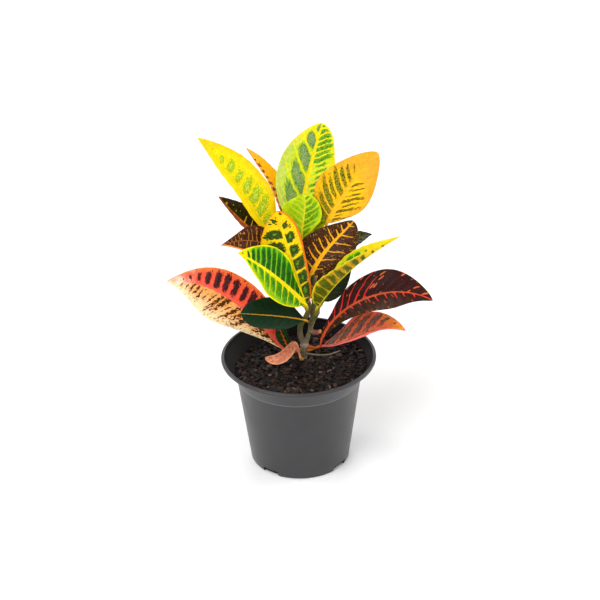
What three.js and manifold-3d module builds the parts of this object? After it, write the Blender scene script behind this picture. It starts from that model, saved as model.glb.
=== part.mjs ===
// Potted croton: a bushy plant with broad blotched leaves, in a dark grey nursery pot.
// Millimetres, +Z up. The origin is on the pot's axis, at the plane it stands on.
// Every leaf is a body of its own: petiole and blade in one closed loft.
// The stem, the soil and the pot are the other bodies.

import * as THREE from 'three';
import { mergeVertices } from 'three/addons/utils/BufferGeometryUtils.js';
import Module from 'manifold-3d';

const wasm = await Module();
wasm.setup();

// ---------- driving dimensions ----------

const CLEARANCE = 0.35; // air between bodies that touch on the real plant

const pot = {
  height: 129,
  rimRadius: 86, // outside of the rolled lip
  lipWidth: 4.4,
  lipHeight: 4.5,
  collarTop: 81, // radius right under the lip
  collarFoot: 70.6, // radius at the step where the collar meets the body
  stepHeight: 104.5,
  bodyTop: 69.4, // radius right under the step
  footRadius: 54.8,
  footBevel: 2,
  wall: 1.8,
  floor: 2,
  sides: 56,
};

// Four drain notches where the wall meets the floor.
const drain = { count: 4, firstAngle: -37.5, width: 20, height: 6.2, depth: 14, radius: 54 };

const soil = { level: 113.5, swell: 1.5, slope: 0.07, rings: 7 }; // it rises by slope along +X
const plantingHole = { depth: 26, sides: 16 };

const blade = {
  thickness: 0.8,
  midribThickness: 1.5,
  steps: 14,
  petioleSteps: 3,
  petioleRadius: 1.5,
  leastHalfWidth: 0.6,
  baseRoundness: 0.6,
  endCrowding: 0.09, // how far the steps crowd towards base and tip
};
const ACROSS = [-1, -0.5, 0, 0.5, 1]; // left edge, left half, midrib, right half, right edge

// ---------- the stem ----------
// A short trunk forks just above the soil into two shoots.
// Each point is x, y, z, radius.

const shoots = {
  trunk: [
    [5, 14, 88, 4.2],
    [5, 14, 102, 4.2],
    [5, 14, 116, 4.2],
    [6, 14, 126, 4.1],
    [7, 13, 136, 4.6],
  ],
  left: [
    [7, 13, 133, 3.2],
    [2.5, 12, 147, 3.2],
    [3, 11, 160, 3.0],
    [10, 11, 173, 2.9],
    [12, 11, 186, 3.0],
    [8, 12, 207, 2.6],
    [6, 14, 237, 2.0],
  ],
  right: [
    [7, 13, 133, 3.0],
    [12.5, 14, 149, 2.5],
    [15.5, 15, 162, 3.0],
    [19, 15, 174, 5.2],
    [20, 16, 189, 4.4],
    [16, 18, 224, 3.2],
    [11, 21, 256, 2.2],
  ],
  // A petiole whose blade has dropped off, and a dry twig.
  stub: [
    [13, 13, 151, 2.4],
    [21, 11, 150.5, 2.8],
    [25.5, 10.5, 152.5, 2.1],
  ],
  twig: [
    [5, 13, 123, 1.3],
    [20, 7, 124, 1.1],
    [34, 4, 126, 0.9],
    [46, 3, 131, 0.6],
  ],
};
const STEM_SIDES = 8;
const RINGS_PER_SPAN = 2;

// ---------- the leaves ----------
// midrib: four Bezier points from the blade's base to its tip.
// left, right: half widths that guide the outline at 0, 1/4, 1/2, 3/4 and all of the length.
// tip: how sharply the outer half narrows, from 0.5 for round to 1 for pointed.
// face: which way the upper side looks, near the base and near the tip.
// fold: how steeply each half rises from the midrib; curl: how much of that the edge loses.
// wave: height, count and phase of the ripples along the edges.
// from: the shoot that carries it, and the height of its node.

const leaves = {
  // the crown
  crown_tall: {
    midrib: [[7, 33, 273], [5, 54, 294], [20, 77, 338], [31, 93, 368]],
    left: [30, 33, 35, 33, 25], right: [26, 29, 30, 27, 31], tip: 0.62,
    face: [[-0.05, -0.84, 0.54], [-0.04, -0.87, 0.49]],
    fold: [18, 18], curl: [10, 10], wave: [1.6, 3, 0.4], from: ['right', 254],
    colour: '#c9cf2e',
  },
  crown_young: {
    midrib: [[6, 25, 260], [5, 28, 276], [13, 32, 296], [9, 36, 311]],
    left: [10, 17, 23, 28, 30], right: [8, 13, 19, 20, 20], tip: 0.62,
    face: [[-0.09, -0.98, 0.17], [-0.05, -0.97, 0.25]],
    fold: [18, 18], curl: [10, 10], wave: [0.5, 2, 0.2], from: ['right', 249],
    colour: '#a5bf22',
  },
  upper_left_long: {
    midrib: [[-29, 28, 264], [-48, 36, 301], [-77, 50, 340], [-105, 56, 371]],
    left: [22, 23, 19, 18, 18], right: [28, 33, 30, 25, 21], tip: 0.9,
    face: [[0.62, -0.59, 0.52], [0.5, -0.6, 0.63]],
    fold: [45, 28], curl: [10, 10], wave: [1.0, 2, 0.6], from: ['left', 234],
    colour: '#e8cf1c',
  },
  upper_right_gold: {
    midrib: [[34, 34, 275], [44, 36, 292], [54, 40, 316], [90, 50, 352]],
    left: [14, 28, 33, 30, 25], right: [9, 19, 27, 29, 27], tip: 0.6,
    face: [[-0.22, -0.94, 0.25], [-0.18, -0.9, 0.39]],
    fold: [18, 18], curl: [10, 10], wave: [1.0, 2, 0.1], from: ['right', 242],
    colour: '#eaa92c',
  },
  // the front
  front_gold_spotted: {
    midrib: [[8, 3, 189], [-2, 1, 227], [-13, 5, 275], [-21, 12, 303]],
    left: [17, 26, 30, 30, 23], right: [22, 17, 17, 21, 25], tip: 0.62,
    face: [[0.12, -0.99, 0.01], [0.04, -0.98, 0.19]],
    fold: [18, 18], curl: [10, 10], wave: [1.0, 2, 0.3], from: ['left', 182],
    colour: '#e3bc1a',
  },
  front_green_striped: {
    midrib: [[9, -2, 194], [-15, -9, 226], [-36, -19, 253], [-63, -28, 274]],
    left: [22, 24, 21, 13, 4], right: [8, 16, 26, 28, 22], tip: 0.75,
    face: [[0.56, -0.8, 0.23], [0.58, -0.74, 0.35]],
    fold: [18, 18], curl: [10, 10], wave: [1.2, 3, 0.7], from: ['left', 173],
    colour: '#6c9a1e',
  },
  right_maroon: {
    midrib: [[14, 7, 224], [30, 12, 256], [40, 20, 258], [63, 34, 277]],
    left: [30, 32, 24, 18, 12], right: [19, 23, 25, 27, 25], tip: 0.5,
    face: [[-0.12, -0.93, 0.34], [0, -0.86, 0.51]],
    fold: [18, 18], curl: [10, 10], wave: [1.0, 2, 0.9], from: ['right', 207],
    colour: '#47261a',
  },
  right_folded: {
    midrib: [[22, 2, 188], [43, -8, 226], [61, -16, 252], [111, -23, 288]],
    left: [12, 14, 17, 17, 9], right: [26, 28, 19, 10, 5], tip: 0.75,
    face: [[-0.76, 0.36, 0.55], [-0.5, 0.46, 0.73]],
    fold: [62, 40], curl: [0, 0], wave: [0.6, 2, 0.5], from: ['right', 174],
    colour: '#a58f1e',
  },
  right_dark_behind: {
    midrib: [[28, 21, 184], [37, 23, 201], [47, 28, 215], [62, 32, 227]],
    left: [14, 15, 14, 11, 6], right: [14, 15, 14, 11, 6], tip: 0.6,
    face: [[-0.18, -0.93, 0.32], [-0.08, -0.88, 0.48]],
    fold: [18, 18], curl: [10, 10], wave: [0.6, 2, 0.1], from: ['right', 180],
    colour: '#23281a',
  },
  right_dark_tip: {
    midrib: [[31, 26, 239], [47, 32, 244], [66, 38, 254], [83, 44, 255]],
    left: [8, 11, 12, 12, 8], right: [8, 11, 12, 10, 5], tip: 0.8,
    face: [[-0.19, -0.39, 0.9], [-0.05, -0.37, 0.93]],
    fold: [28, 28], curl: [10, 10], wave: [0.4, 2, 0.8], from: ['right', 231],
    colour: '#3b3d24',
  },
  // the left
  back_left_orange: {
    midrib: [[-10, 44, 257], [-9, 58, 291], [-27, 71, 316], [-53, 85, 343]],
    left: [18, 16, 12, 12, 12], right: [15, 17, 14, 12, 12], tip: 0.85,
    face: [[0.66, -0.63, 0.4], [0.51, -0.47, 0.72]],
    fold: [40, 28], curl: [10, 10], wave: [0.6, 2, 0.2], from: ['right', 236],
    colour: '#e79a1c',
  },
  left_dark_green: {
    midrib: [[-15, 30, 240], [-37, 36, 255], [-62, 40, 276], [-84, 44, 305]],
    left: [11, 14, 17, 18, 16], right: [12, 16, 20, 22, 18], tip: 0.8,
    face: [[0.55, -0.31, 0.77], [0.66, -0.36, 0.66]],
    fold: [40, 28], curl: [10, 10], wave: [0.6, 2, 0.7], from: ['left', 224],
    colour: '#2a2418',
  },
  left_maroon: {
    midrib: [[-22, 10, 256], [-40, 9, 272], [-62, 6, 273], [-82, -3, 270]],
    left: [10, 13, 13, 10, 6], right: [10, 18, 16, 8, 3], tip: 0.8,
    face: [[0.35, -0.85, 0.4], [0.2, -0.7, 0.68]],
    fold: [18, 18], curl: [10, 10], wave: [0.6, 2, 0.4], from: ['left', 214],
    colour: '#52291c',
  },
  // the low tier
  low_left_coral: {
    midrib: [[-16, 13, 127], [-55, 18, 183], [-96, 31, 214], [-145, 40, 202]],
    left: [8, 24, 34, 32, 18], right: [16, 27, 27, 23, 15], tip: 0.85,
    face: [[0.41, -0.79, 0.45], [-0.13, -0.67, 0.73]],
    fold: [18, 18], curl: [10, 10], wave: [1.6, 2, 0.6], from: ['trunk', 121.5],
    colour: '#e0744a',
  },
  low_left_green: {
    midrib: [[8, 3, 171], [-16, -2, 180], [-37, -10, 186], [-62, -18, 193]],
    left: [8, 15, 16, 19, 25], right: [9, 19, 21, 20, 19], tip: 0.55,
    face: [[0.39, -0.63, 0.67], [0.4, -0.6, 0.69]],
    fold: [18, 18], curl: [10, 10], wave: [0.5, 2, 0.3], from: ['right', 161],
    colour: '#27331c',
  },
  right_big_dark: {
    midrib: [[25, 6, 138], [31, 7, 179], [95, 5, 225], [148, 0, 195]],
    left: [6, 8, 21, 30, 21], right: [3, 9, 15, 22, 14], tip: 0.7,
    face: [[-0.49, -0.83, 0.27], [0.08, -0.61, 0.78]],
    fold: [18, 18], curl: [10, 10], wave: [1.6, 3, 0.2], from: ['trunk', 133],
    colour: '#3a2420',
  },
  low_right_pink: {
    midrib: [[27, 14, 131], [58, 15, 131], [86, 17, 163], [119, 12, 150]],
    left: [11, 16, 22, 22, 14], right: [11, 16, 17, 16, 14], tip: 0.75,
    face: [[-0.18, -0.61, 0.78], [-0.03, -0.6, 0.8]],
    fold: [20, 68], curl: [10, 10], wave: [1.2, 2, 0.5], from: ['trunk', 127],
    colour: '#c9605a',
  },
  low_small_dark: {
    midrib: [[-10, 9, 128], [-14, 10, 138], [-18, 8, 150], [-22, 9, 163]],
    left: [4, 5, 7, 8, 7], right: [3, 5, 6, 7, 7], tip: 0.6,
    face: [[0.19, -0.98, 0.07], [0.17, -0.98, 0.05]],
    fold: [18, 18], curl: [10, 10], wave: [0.3, 1, 0], from: ['trunk', 127],
    colour: '#2b3a1a',
  },
  low_withered: {
    midrib: [[2, 3, 123], [-6, 3, 169], [-9, 1, 111], [-37, 6, 122]],
    left: [3, 5, 7, 9, 11], right: [2, 3, 4, 6, 9], tip: 0.55,
    face: [[0.3, -0.9, 0.2], [-0.1, -0.6, 0.8]],
    fold: [10, 10], curl: [0, 0], wave: [0.3, 1, 0], from: ['trunk', 117],
    colour: '#e88a5e',
  },
  // the back
  back_high: {
    midrib: [[14, 38, 253], [20, 60, 278], [28, 90, 303], [30, 122, 315]],
    left: [12, 24, 27, 22, 12], right: [12, 24, 27, 22, 12], tip: 0.7,
    face: [[-0.2, -0.6, 0.8], [-0.1, -0.3, 0.95]],
    fold: [16, 16], curl: [12, 12], wave: [1.0, 2, 0.3], from: ['right', 245],
    colour: '#c7b92a',
  },
  back_left_mid: {
    midrib: [[0, 38, 225], [-14, 62, 243], [-30, 92, 253], [-42, 124, 249]],
    left: [12, 24, 27, 22, 12], right: [12, 24, 27, 22, 12], tip: 0.7,
    face: [[0.2, -0.5, 0.85], [-0.1, 0.2, 1]],
    fold: [16, 16], curl: [12, 12], wave: [1.0, 2, 0.8], from: ['right', 221],
    colour: '#b98a26',
  },
  back_right_mid: {
    midrib: [[22, 38, 209], [30, 62, 225], [42, 92, 233], [52, 122, 229]],
    left: [12, 24, 27, 22, 12], right: [12, 24, 27, 22, 12], tip: 0.7,
    face: [[-0.2, -0.5, 0.85], [0.1, 0.2, 1]],
    fold: [16, 16], curl: [12, 12], wave: [1.0, 2, 0.1], from: ['right', 209],
    colour: '#5a6a20',
  },
  back_low: {
    midrib: [[12, 36, 185], [8, 66, 199], [2, 100, 199], [-2, 130, 183]],
    left: [12, 24, 27, 22, 12], right: [12, 24, 27, 22, 12], tip: 0.7,
    face: [[0, -0.4, 0.9], [0, 0.4, 0.9]],
    fold: [16, 16], curl: [12, 12], wave: [1.2, 2, 0.5], from: ['right', 189],
    colour: '#4a2a1e',
  },
  back_low_left: {
    midrib: [[2, 34, 177], [-12, 54, 189], [-30, 80, 193], [-42, 100, 185]],
    left: [7, 13, 14, 12, 9], right: [7, 13, 14, 12, 9], tip: 0.7,
    face: [[0.2, -0.4, 0.9], [-0.3, 0.4, 0.9]],
    fold: [16, 16], curl: [12, 12], wave: [1.0, 2, 0.2], from: ['left', 178],
    colour: '#3a2420',
  },
  back_low_right: {
    midrib: [[25, 34, 172], [34, 58, 188], [44, 84, 194], [48, 108, 186]],
    left: [7, 14, 16, 14, 10], right: [7, 13, 14, 12, 9], tip: 0.7,
    face: [[-0.2, -0.4, 0.9], [0.2, 0.4, 0.9]],
    fold: [16, 16], curl: [12, 12], wave: [1.0, 2, 0.7], from: ['right', 165],
    colour: '#6b3226',
  },
};

// ---------- tools of the shapes ----------

const vector = ([x, y, z]) => new THREE.Vector3(x, y, z);
const radians = THREE.MathUtils.degToRad;

// A closed body through a row of rings with equal counts of points, capped at both ends.
function loft(rings) {
  const count = rings[0].length;
  const points = rings.flat();
  const faces = [];
  for (let ring = 0; ring < rings.length - 1; ring += 1) {
    for (let i = 0; i < count; i += 1) {
      const j = (i + 1) % count;
      const low = ring * count;
      const high = low + count;
      faces.push(low + i, low + j, high + j, low + i, high + j, high + i);
    }
  }
  cap(points, faces, 0, count, false);
  cap(points, faces, (rings.length - 1) * count, count, true);
  const geometry = new THREE.BufferGeometry();
  geometry.setAttribute('position', new THREE.Float32BufferAttribute(points.flatMap((p) => p.toArray()), 3));
  geometry.setIndex(faces);
  return geometry;
}

// Closes one end with a fan from the middle of its ring.
function cap(points, faces, first, count, isEnd) {
  const middle = new THREE.Vector3();
  for (let i = 0; i < count; i += 1) middle.add(points[first + i]);
  points.push(middle.divideScalar(count));
  const hub = points.length - 1;
  for (let i = 0; i < count; i += 1) {
    const here = first + i;
    const next = first + ((i + 1) % count);
    faces.push(...(isEnd ? [hub, here, next] : [hub, next, here]));
  }
}

function toSolid(geometry) {
  const bare = geometry.clone();
  bare.deleteAttribute('normal');
  bare.deleteAttribute('uv');
  const merged = mergeVertices(bare, 1e-4);
  return new wasm.Manifold(new wasm.Mesh({
    numProp: 3,
    vertProperties: new Float32Array(merged.attributes.position.array),
    triVerts: new Uint32Array(merged.index.array),
  }));
}

function toGeometry(solid) {
  const mesh = solid.getMesh();
  const geometry = new THREE.BufferGeometry();
  geometry.setAttribute('position', new THREE.BufferAttribute(mesh.vertProperties, 3));
  geometry.setIndex(new THREE.BufferAttribute(mesh.triVerts, 1));
  return geometry;
}

// ---------- pot ----------

// Radius of the pot's outside below the lip, at a height.
function outsideRadius(z) {
  const { footRadius, bodyTop, collarFoot, collarTop, stepHeight, height, lipHeight } = pot;
  if (z < stepHeight) return THREE.MathUtils.mapLinear(z, 0, stepHeight, footRadius, bodyTop);
  return THREE.MathUtils.mapLinear(z, stepHeight, height - lipHeight, collarFoot, collarTop);
}

function potGeometry() {
  const { height, rimRadius, lipWidth, lipHeight, collarTop, collarFoot } = pot;
  const { stepHeight, bodyTop, footRadius, footBevel, wall, floor } = pot;
  const lipInner = rimRadius - lipWidth;
  const profile = [
    [0, 0],
    [footRadius - footBevel, 0],
    [outsideRadius(footBevel), footBevel],
    [bodyTop, stepHeight - 1],
    [collarFoot, stepHeight],
    [collarTop, height - lipHeight],
    [rimRadius - 1.2, height - lipHeight + 0.4],
    [rimRadius, height - lipHeight + 2.2],
    [rimRadius - 0.3, height - 1.6],
    [rimRadius - 1.6, height - 0.2],
    [lipInner + 1.3, height],
    [lipInner, height - 1.4],
    [lipInner - 0.4, height - lipHeight + 1.4],
    [collarTop - wall, height - lipHeight],
    [collarFoot - wall, stepHeight],
    [bodyTop - wall, stepHeight - 1],
    [outsideRadius(floor) - wall, floor],
    [0, floor],
  ].map(([r, z]) => new THREE.Vector2(r, z));
  let solid = toSolid(new THREE.LatheGeometry(profile, pot.sides));
  for (let i = 0; i < drain.count; i += 1) {
    const notch = new THREE.BoxGeometry(drain.depth, drain.width, 2 * drain.height);
    notch.rotateX(Math.PI / 2).translate(drain.radius, 0, 0);
    notch.rotateY(radians(drain.firstAngle + (360 / drain.count) * i));
    solid = solid.subtract(toSolid(notch));
  }
  return toGeometry(solid).rotateX(Math.PI / 2); // the lathe turns round +Y
}

// ---------- soil ----------

function soilHeight(x, y) {
  const broad = Math.sin(0.071 * x + 0.9) * Math.cos(0.063 * y - 0.4);
  const lumps = Math.sin(0.23 * x - 0.17 * y) * Math.sin(0.19 * y + 0.11 * x + 1.3);
  return soil.level + soil.slope * x + soil.swell * (0.55 * broad + 0.45 * lumps);
}

function soilGeometry() {
  const inside = (z) => outsideRadius(z) - pot.wall - CLEARANCE;
  // The top meets the pot's wall as far out as its own height allows.
  const edgeRadius = (angle) => {
    let radius = inside(soil.level);
    for (let i = 0; i < 5; i += 1) {
      radius = inside(soilHeight(radius * Math.cos(angle), radius * Math.sin(angle)));
    }
    return radius;
  };
  const circle = (radiusAt, height) => {
    const ring = [];
    for (let i = 0; i < pot.sides; i += 1) {
      const angle = (2 * Math.PI * i) / pot.sides;
      const x = radiusAt(angle) * Math.cos(angle);
      const y = radiusAt(angle) * Math.sin(angle);
      ring.push(new THREE.Vector3(x, y, height ?? soilHeight(x, y)));
    }
    return ring;
  };
  const rings = [pot.floor + CLEARANCE, pot.stepHeight - 1].map((z) => circle(() => inside(z), z));
  for (let i = soil.rings; i > 0; i -= 1) rings.push(circle((angle) => (edgeRadius(angle) * i) / soil.rings));
  const [x, y, , trunkRadius] = shoots.trunk[0];
  const radius = trunkRadius + CLEARANCE;
  const hole = new THREE.CylinderGeometry(radius, radius, 2 * plantingHole.depth, plantingHole.sides);
  hole.rotateX(Math.PI / 2).translate(x, y, soil.level);
  return toGeometry(toSolid(loft(rings)).subtract(toSolid(hole)));
}

// ---------- stem ----------

function shootCurve(points) {
  return new THREE.CatmullRomCurve3(points.map(vector));
}

function shootGeometry(points) {
  const curve = shootCurve(points);
  const steps = (points.length - 1) * RINGS_PER_SPAN;
  const rings = [];
  for (let i = 0; i <= steps; i += 1) {
    const t = i / steps;
    const along = curve.getTangent(t);
    const side = new THREE.Vector3(1, 0, 0.01).projectOnPlane(along).normalize();
    const front = new THREE.Vector3().crossVectors(along, side);
    const place = t * (points.length - 1);
    const before = Math.min(Math.floor(place), points.length - 2);
    const radius = THREE.MathUtils.lerp(points[before][3], points[before + 1][3], place - before);
    const ring = [];
    for (let k = 0; k < STEM_SIDES; k += 1) {
      const angle = (2 * Math.PI * k) / STEM_SIDES;
      const spoke = side.clone().multiplyScalar(radius * Math.cos(angle));
      ring.push(curve.getPoint(t).add(spoke).addScaledVector(front, radius * Math.sin(angle)));
    }
    rings.push(ring);
  }
  return loft(rings);
}

function stemGeometry() {
  const [first, ...rest] = Object.values(shoots).map((points) => toSolid(shootGeometry(points)));
  return toGeometry(rest.reduce((joined, shoot) => joined.add(shoot), first));
}

// The centre, direction and radius of a shoot at a height.
function shootAt(name, z) {
  const points = shoots[name];
  const curve = shootCurve(points);
  let low = 0;
  let high = 1;
  for (let i = 0; i < 30; i += 1) {
    const middle = (low + high) / 2;
    if (curve.getPoint(middle).z < z) low = middle;
    else high = middle;
  }
  const place = low * (points.length - 1);
  const before = Math.min(Math.floor(place), points.length - 2);
  return {
    centre: curve.getPoint(low),
    along: curve.getTangent(low),
    radius: THREE.MathUtils.lerp(points[before][3], points[before + 1][3], place - before),
  };
}

// ---------- leaf ----------

// Half width at t, from five guide widths on an oval outline that may narrow to a point.
function halfWidth(guides, tip, t) {
  const place = t * (guides.length - 1);
  const i = Math.min(Math.floor(place), guides.length - 2);
  const u = place - i;
  const last = guides.length - 1;
  const before = i > 0 ? guides[i - 1] : 2 * guides[0] - guides[1];
  const after = i < last - 1 ? guides[i + 2] : 2 * guides[last] - guides[last - 1];
  const [here, next] = [guides[i], guides[i + 1]];
  const guide = 0.5 * (2 * here + (next - before) * u
    + (2 * before - 5 * here + 4 * next - after) * u * u
    + (3 * here - before - 3 * next + after) * u * u * u);
  const oval = (4 * t * (1 - t)) ** (t < 0.5 ? blade.baseRoundness : tip);
  return Math.max(oval * guide, blade.leastHalfWidth);
}

// Axes of the leaf's section: along the midrib, towards the upper side, and to the right.
function sectionAxes(along, face) {
  const up = face.clone().projectOnPlane(along).normalize();
  return { along, up, right: new THREE.Vector3().crossVectors(along, up) };
}

// The blade's ring at t: five points on the upper side, then five on the underside.
function bladeRing(leaf, midrib, faces, t) {
  const along = midrib.getTangent(t);
  const { up, right } = sectionAxes(along, faces[0].clone().lerp(faces[1], t));
  const centre = midrib.getPoint(t);
  const [height, count, phase] = leaf.wave;
  const upper = [];
  const under = [];
  for (const s of ACROSS) {
    const half = s < 0 ? 0 : 1;
    const side = s < 0 ? -1 : 1;
    const reach = Math.abs(s) * halfWidth(half ? leaf.right : leaf.left, leaf.tip, t);
    const slope = radians(leaf.fold[half] - leaf.curl[half] * Math.abs(s));
    const turns = count * t + phase + 0.25 * side;
    const ripple = height * s * s * Math.sin(2 * Math.PI * turns) * Math.sin(Math.PI * t);
    const point = centre.clone()
      .addScaledVector(right, side * reach * Math.cos(slope))
      .addScaledVector(up, reach * Math.sin(slope) + ripple);
    const thickness = s === 0 ? blade.midribThickness : blade.thickness;
    const normal = up.clone();
    if (s !== 0) normal.multiplyScalar(Math.cos(slope)).addScaledVector(right, -side * Math.sin(slope));
    upper.push(point);
    under.unshift(point.clone().addScaledVector(normal, -thickness));
  }
  return [...upper, ...under];
}

// The petiole's round ring, with its points in the order of the blade's.
function petioleRing(path, t, face) {
  const { up, right } = sectionAxes(path.getTangent(t), face);
  const count = ACROSS.length;
  const ring = [];
  for (let i = 0; i < 2 * count; i += 1) {
    const angle = Math.PI * (1 - (i + 0.5) / count);
    ring.push(path.getPoint(t)
      .addScaledVector(right, blade.petioleRadius * Math.cos(angle))
      .addScaledVector(up, blade.petioleRadius * Math.sin(angle)));
  }
  return ring;
}

// From the shoot's surface, out and round into the midrib's direction.
function petiolePath(leaf, midrib) {
  const { centre, along, radius } = shootAt(...leaf.from);
  const base = midrib.getPoint(0);
  const outward = base.clone().sub(centre).projectOnPlane(along).normalize();
  const start = centre.addScaledVector(outward, radius + CLEARANCE);
  const pull = 0.4 * start.distanceTo(base);
  return new THREE.CubicBezierCurve3(
    start,
    start.clone().addScaledVector(outward, pull),
    base.clone().addScaledVector(midrib.getTangent(0), -pull),
    base,
  );
}

function leafGeometry(leaf) {
  const midrib = new THREE.CubicBezierCurve3(...leaf.midrib.map(vector));
  const faces = leaf.face.map(vector);
  const path = petiolePath(leaf, midrib);
  const rings = [];
  for (let i = 0; i <= blade.petioleSteps; i += 1) {
    rings.push(petioleRing(path, i / blade.petioleSteps, faces[0]));
  }
  for (let i = 1; i <= blade.steps; i += 1) {
    const u = i / blade.steps;
    rings.push(bladeRing(leaf, midrib, faces, u - blade.endCrowding * Math.sin(2 * Math.PI * u)));
  }
  return loft(rings);
}

// ---------- the assembly ----------

const croton = new THREE.Group();

function addPart(name, geometry, colour, roughness) {
  const material = new THREE.MeshStandardMaterial({ color: colour, roughness, metalness: 0 });
  const mesh = new THREE.Mesh(geometry, material);
  mesh.name = name;
  croton.add(mesh);
}

addPart('pot', potGeometry(), '#4e4d4f', 0.45);
addPart('soil', soilGeometry(), '#1e1512', 0.95);
addPart('stem', stemGeometry(), '#7d7458', 0.8);
for (const [name, leaf] of Object.entries(leaves)) {
  addPart(`leaf_${name}`, leafGeometry(leaf), leaf.colour, 0.4);
}

export default croton;
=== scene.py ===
"""Potted croton: a bushy plant with broad, boldly veined leaves, in a dark grey nursery pot.

The origin is on the pot's axis, at the plane it stands on. +Z is up and the front looks along -Y.
Sizes are in millimetres here, and become metres where a mesh is made.
"""
import math
import random

import bmesh
import bpy
from mathutils import Matrix, Vector, noise


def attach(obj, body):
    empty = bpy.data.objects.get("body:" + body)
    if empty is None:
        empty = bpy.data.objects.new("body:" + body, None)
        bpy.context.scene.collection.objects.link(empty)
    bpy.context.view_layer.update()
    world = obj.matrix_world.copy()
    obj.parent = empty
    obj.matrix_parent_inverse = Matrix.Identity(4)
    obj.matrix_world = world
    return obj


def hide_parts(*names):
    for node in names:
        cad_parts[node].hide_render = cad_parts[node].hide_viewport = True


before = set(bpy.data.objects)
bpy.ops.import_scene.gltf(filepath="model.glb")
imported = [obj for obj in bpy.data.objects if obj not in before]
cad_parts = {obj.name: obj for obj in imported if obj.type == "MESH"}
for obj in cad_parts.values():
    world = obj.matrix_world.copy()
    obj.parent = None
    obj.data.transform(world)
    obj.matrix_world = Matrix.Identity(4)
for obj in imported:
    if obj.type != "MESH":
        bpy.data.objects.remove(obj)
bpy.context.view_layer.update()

MM = 0.001

# ---------- driving sizes ----------

POT = {
    "height": 129, "rim": 86, "lip_width": 4.4, "lip_height": 4.5, "collar_top": 81, "collar_foot": 70.6,
    "step": 104.5, "body_top": 69.4, "foot": 54.8, "wall": 1.8, "floor": 2, "sides": 224,
    "smooth_below": 40,
}
DRAIN = {"count": 4, "first_angle": -37.5, "width": 20, "height": 6.2, "depth": 14, "radius": 54}
SOIL = {"level": 113.5, "swell": 1.5, "slope": 0.07, "clearance": 0.35}

# Each point of a shoot is x, y, z, radius.
SHOOTS = {
    "trunk": [(5, 14, 88, 4.2), (5, 14, 102, 4.2), (5, 14, 116, 4.2), (6, 14, 126, 4.1), (7, 13, 136, 4.6)],
    "left": [(7, 13, 133, 3.2), (2.5, 12, 147, 3.2), (3, 11, 160, 3.0), (10, 11, 173, 2.9),
             (12, 11, 186, 3.0), (8, 12, 207, 2.6), (6, 14, 237, 2.0)],
    "right": [(7, 13, 133, 3.0), (12.5, 14, 149, 2.5), (15.5, 15, 162, 3.0), (19, 15, 174, 5.2),
              (20, 16, 189, 4.4), (16, 18, 224, 3.2), (11, 21, 256, 2.2)],
    "stub": [(13, 13, 151, 2.4), (21, 11, 150.5, 2.8), (25.5, 10.5, 152.5, 2.1)],
    "twig": [(5, 13, 123, 1.3), (20, 7, 124, 1.1), (34, 4, 126, 0.9), (46, 3, 131, 0.6)],
}

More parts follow.
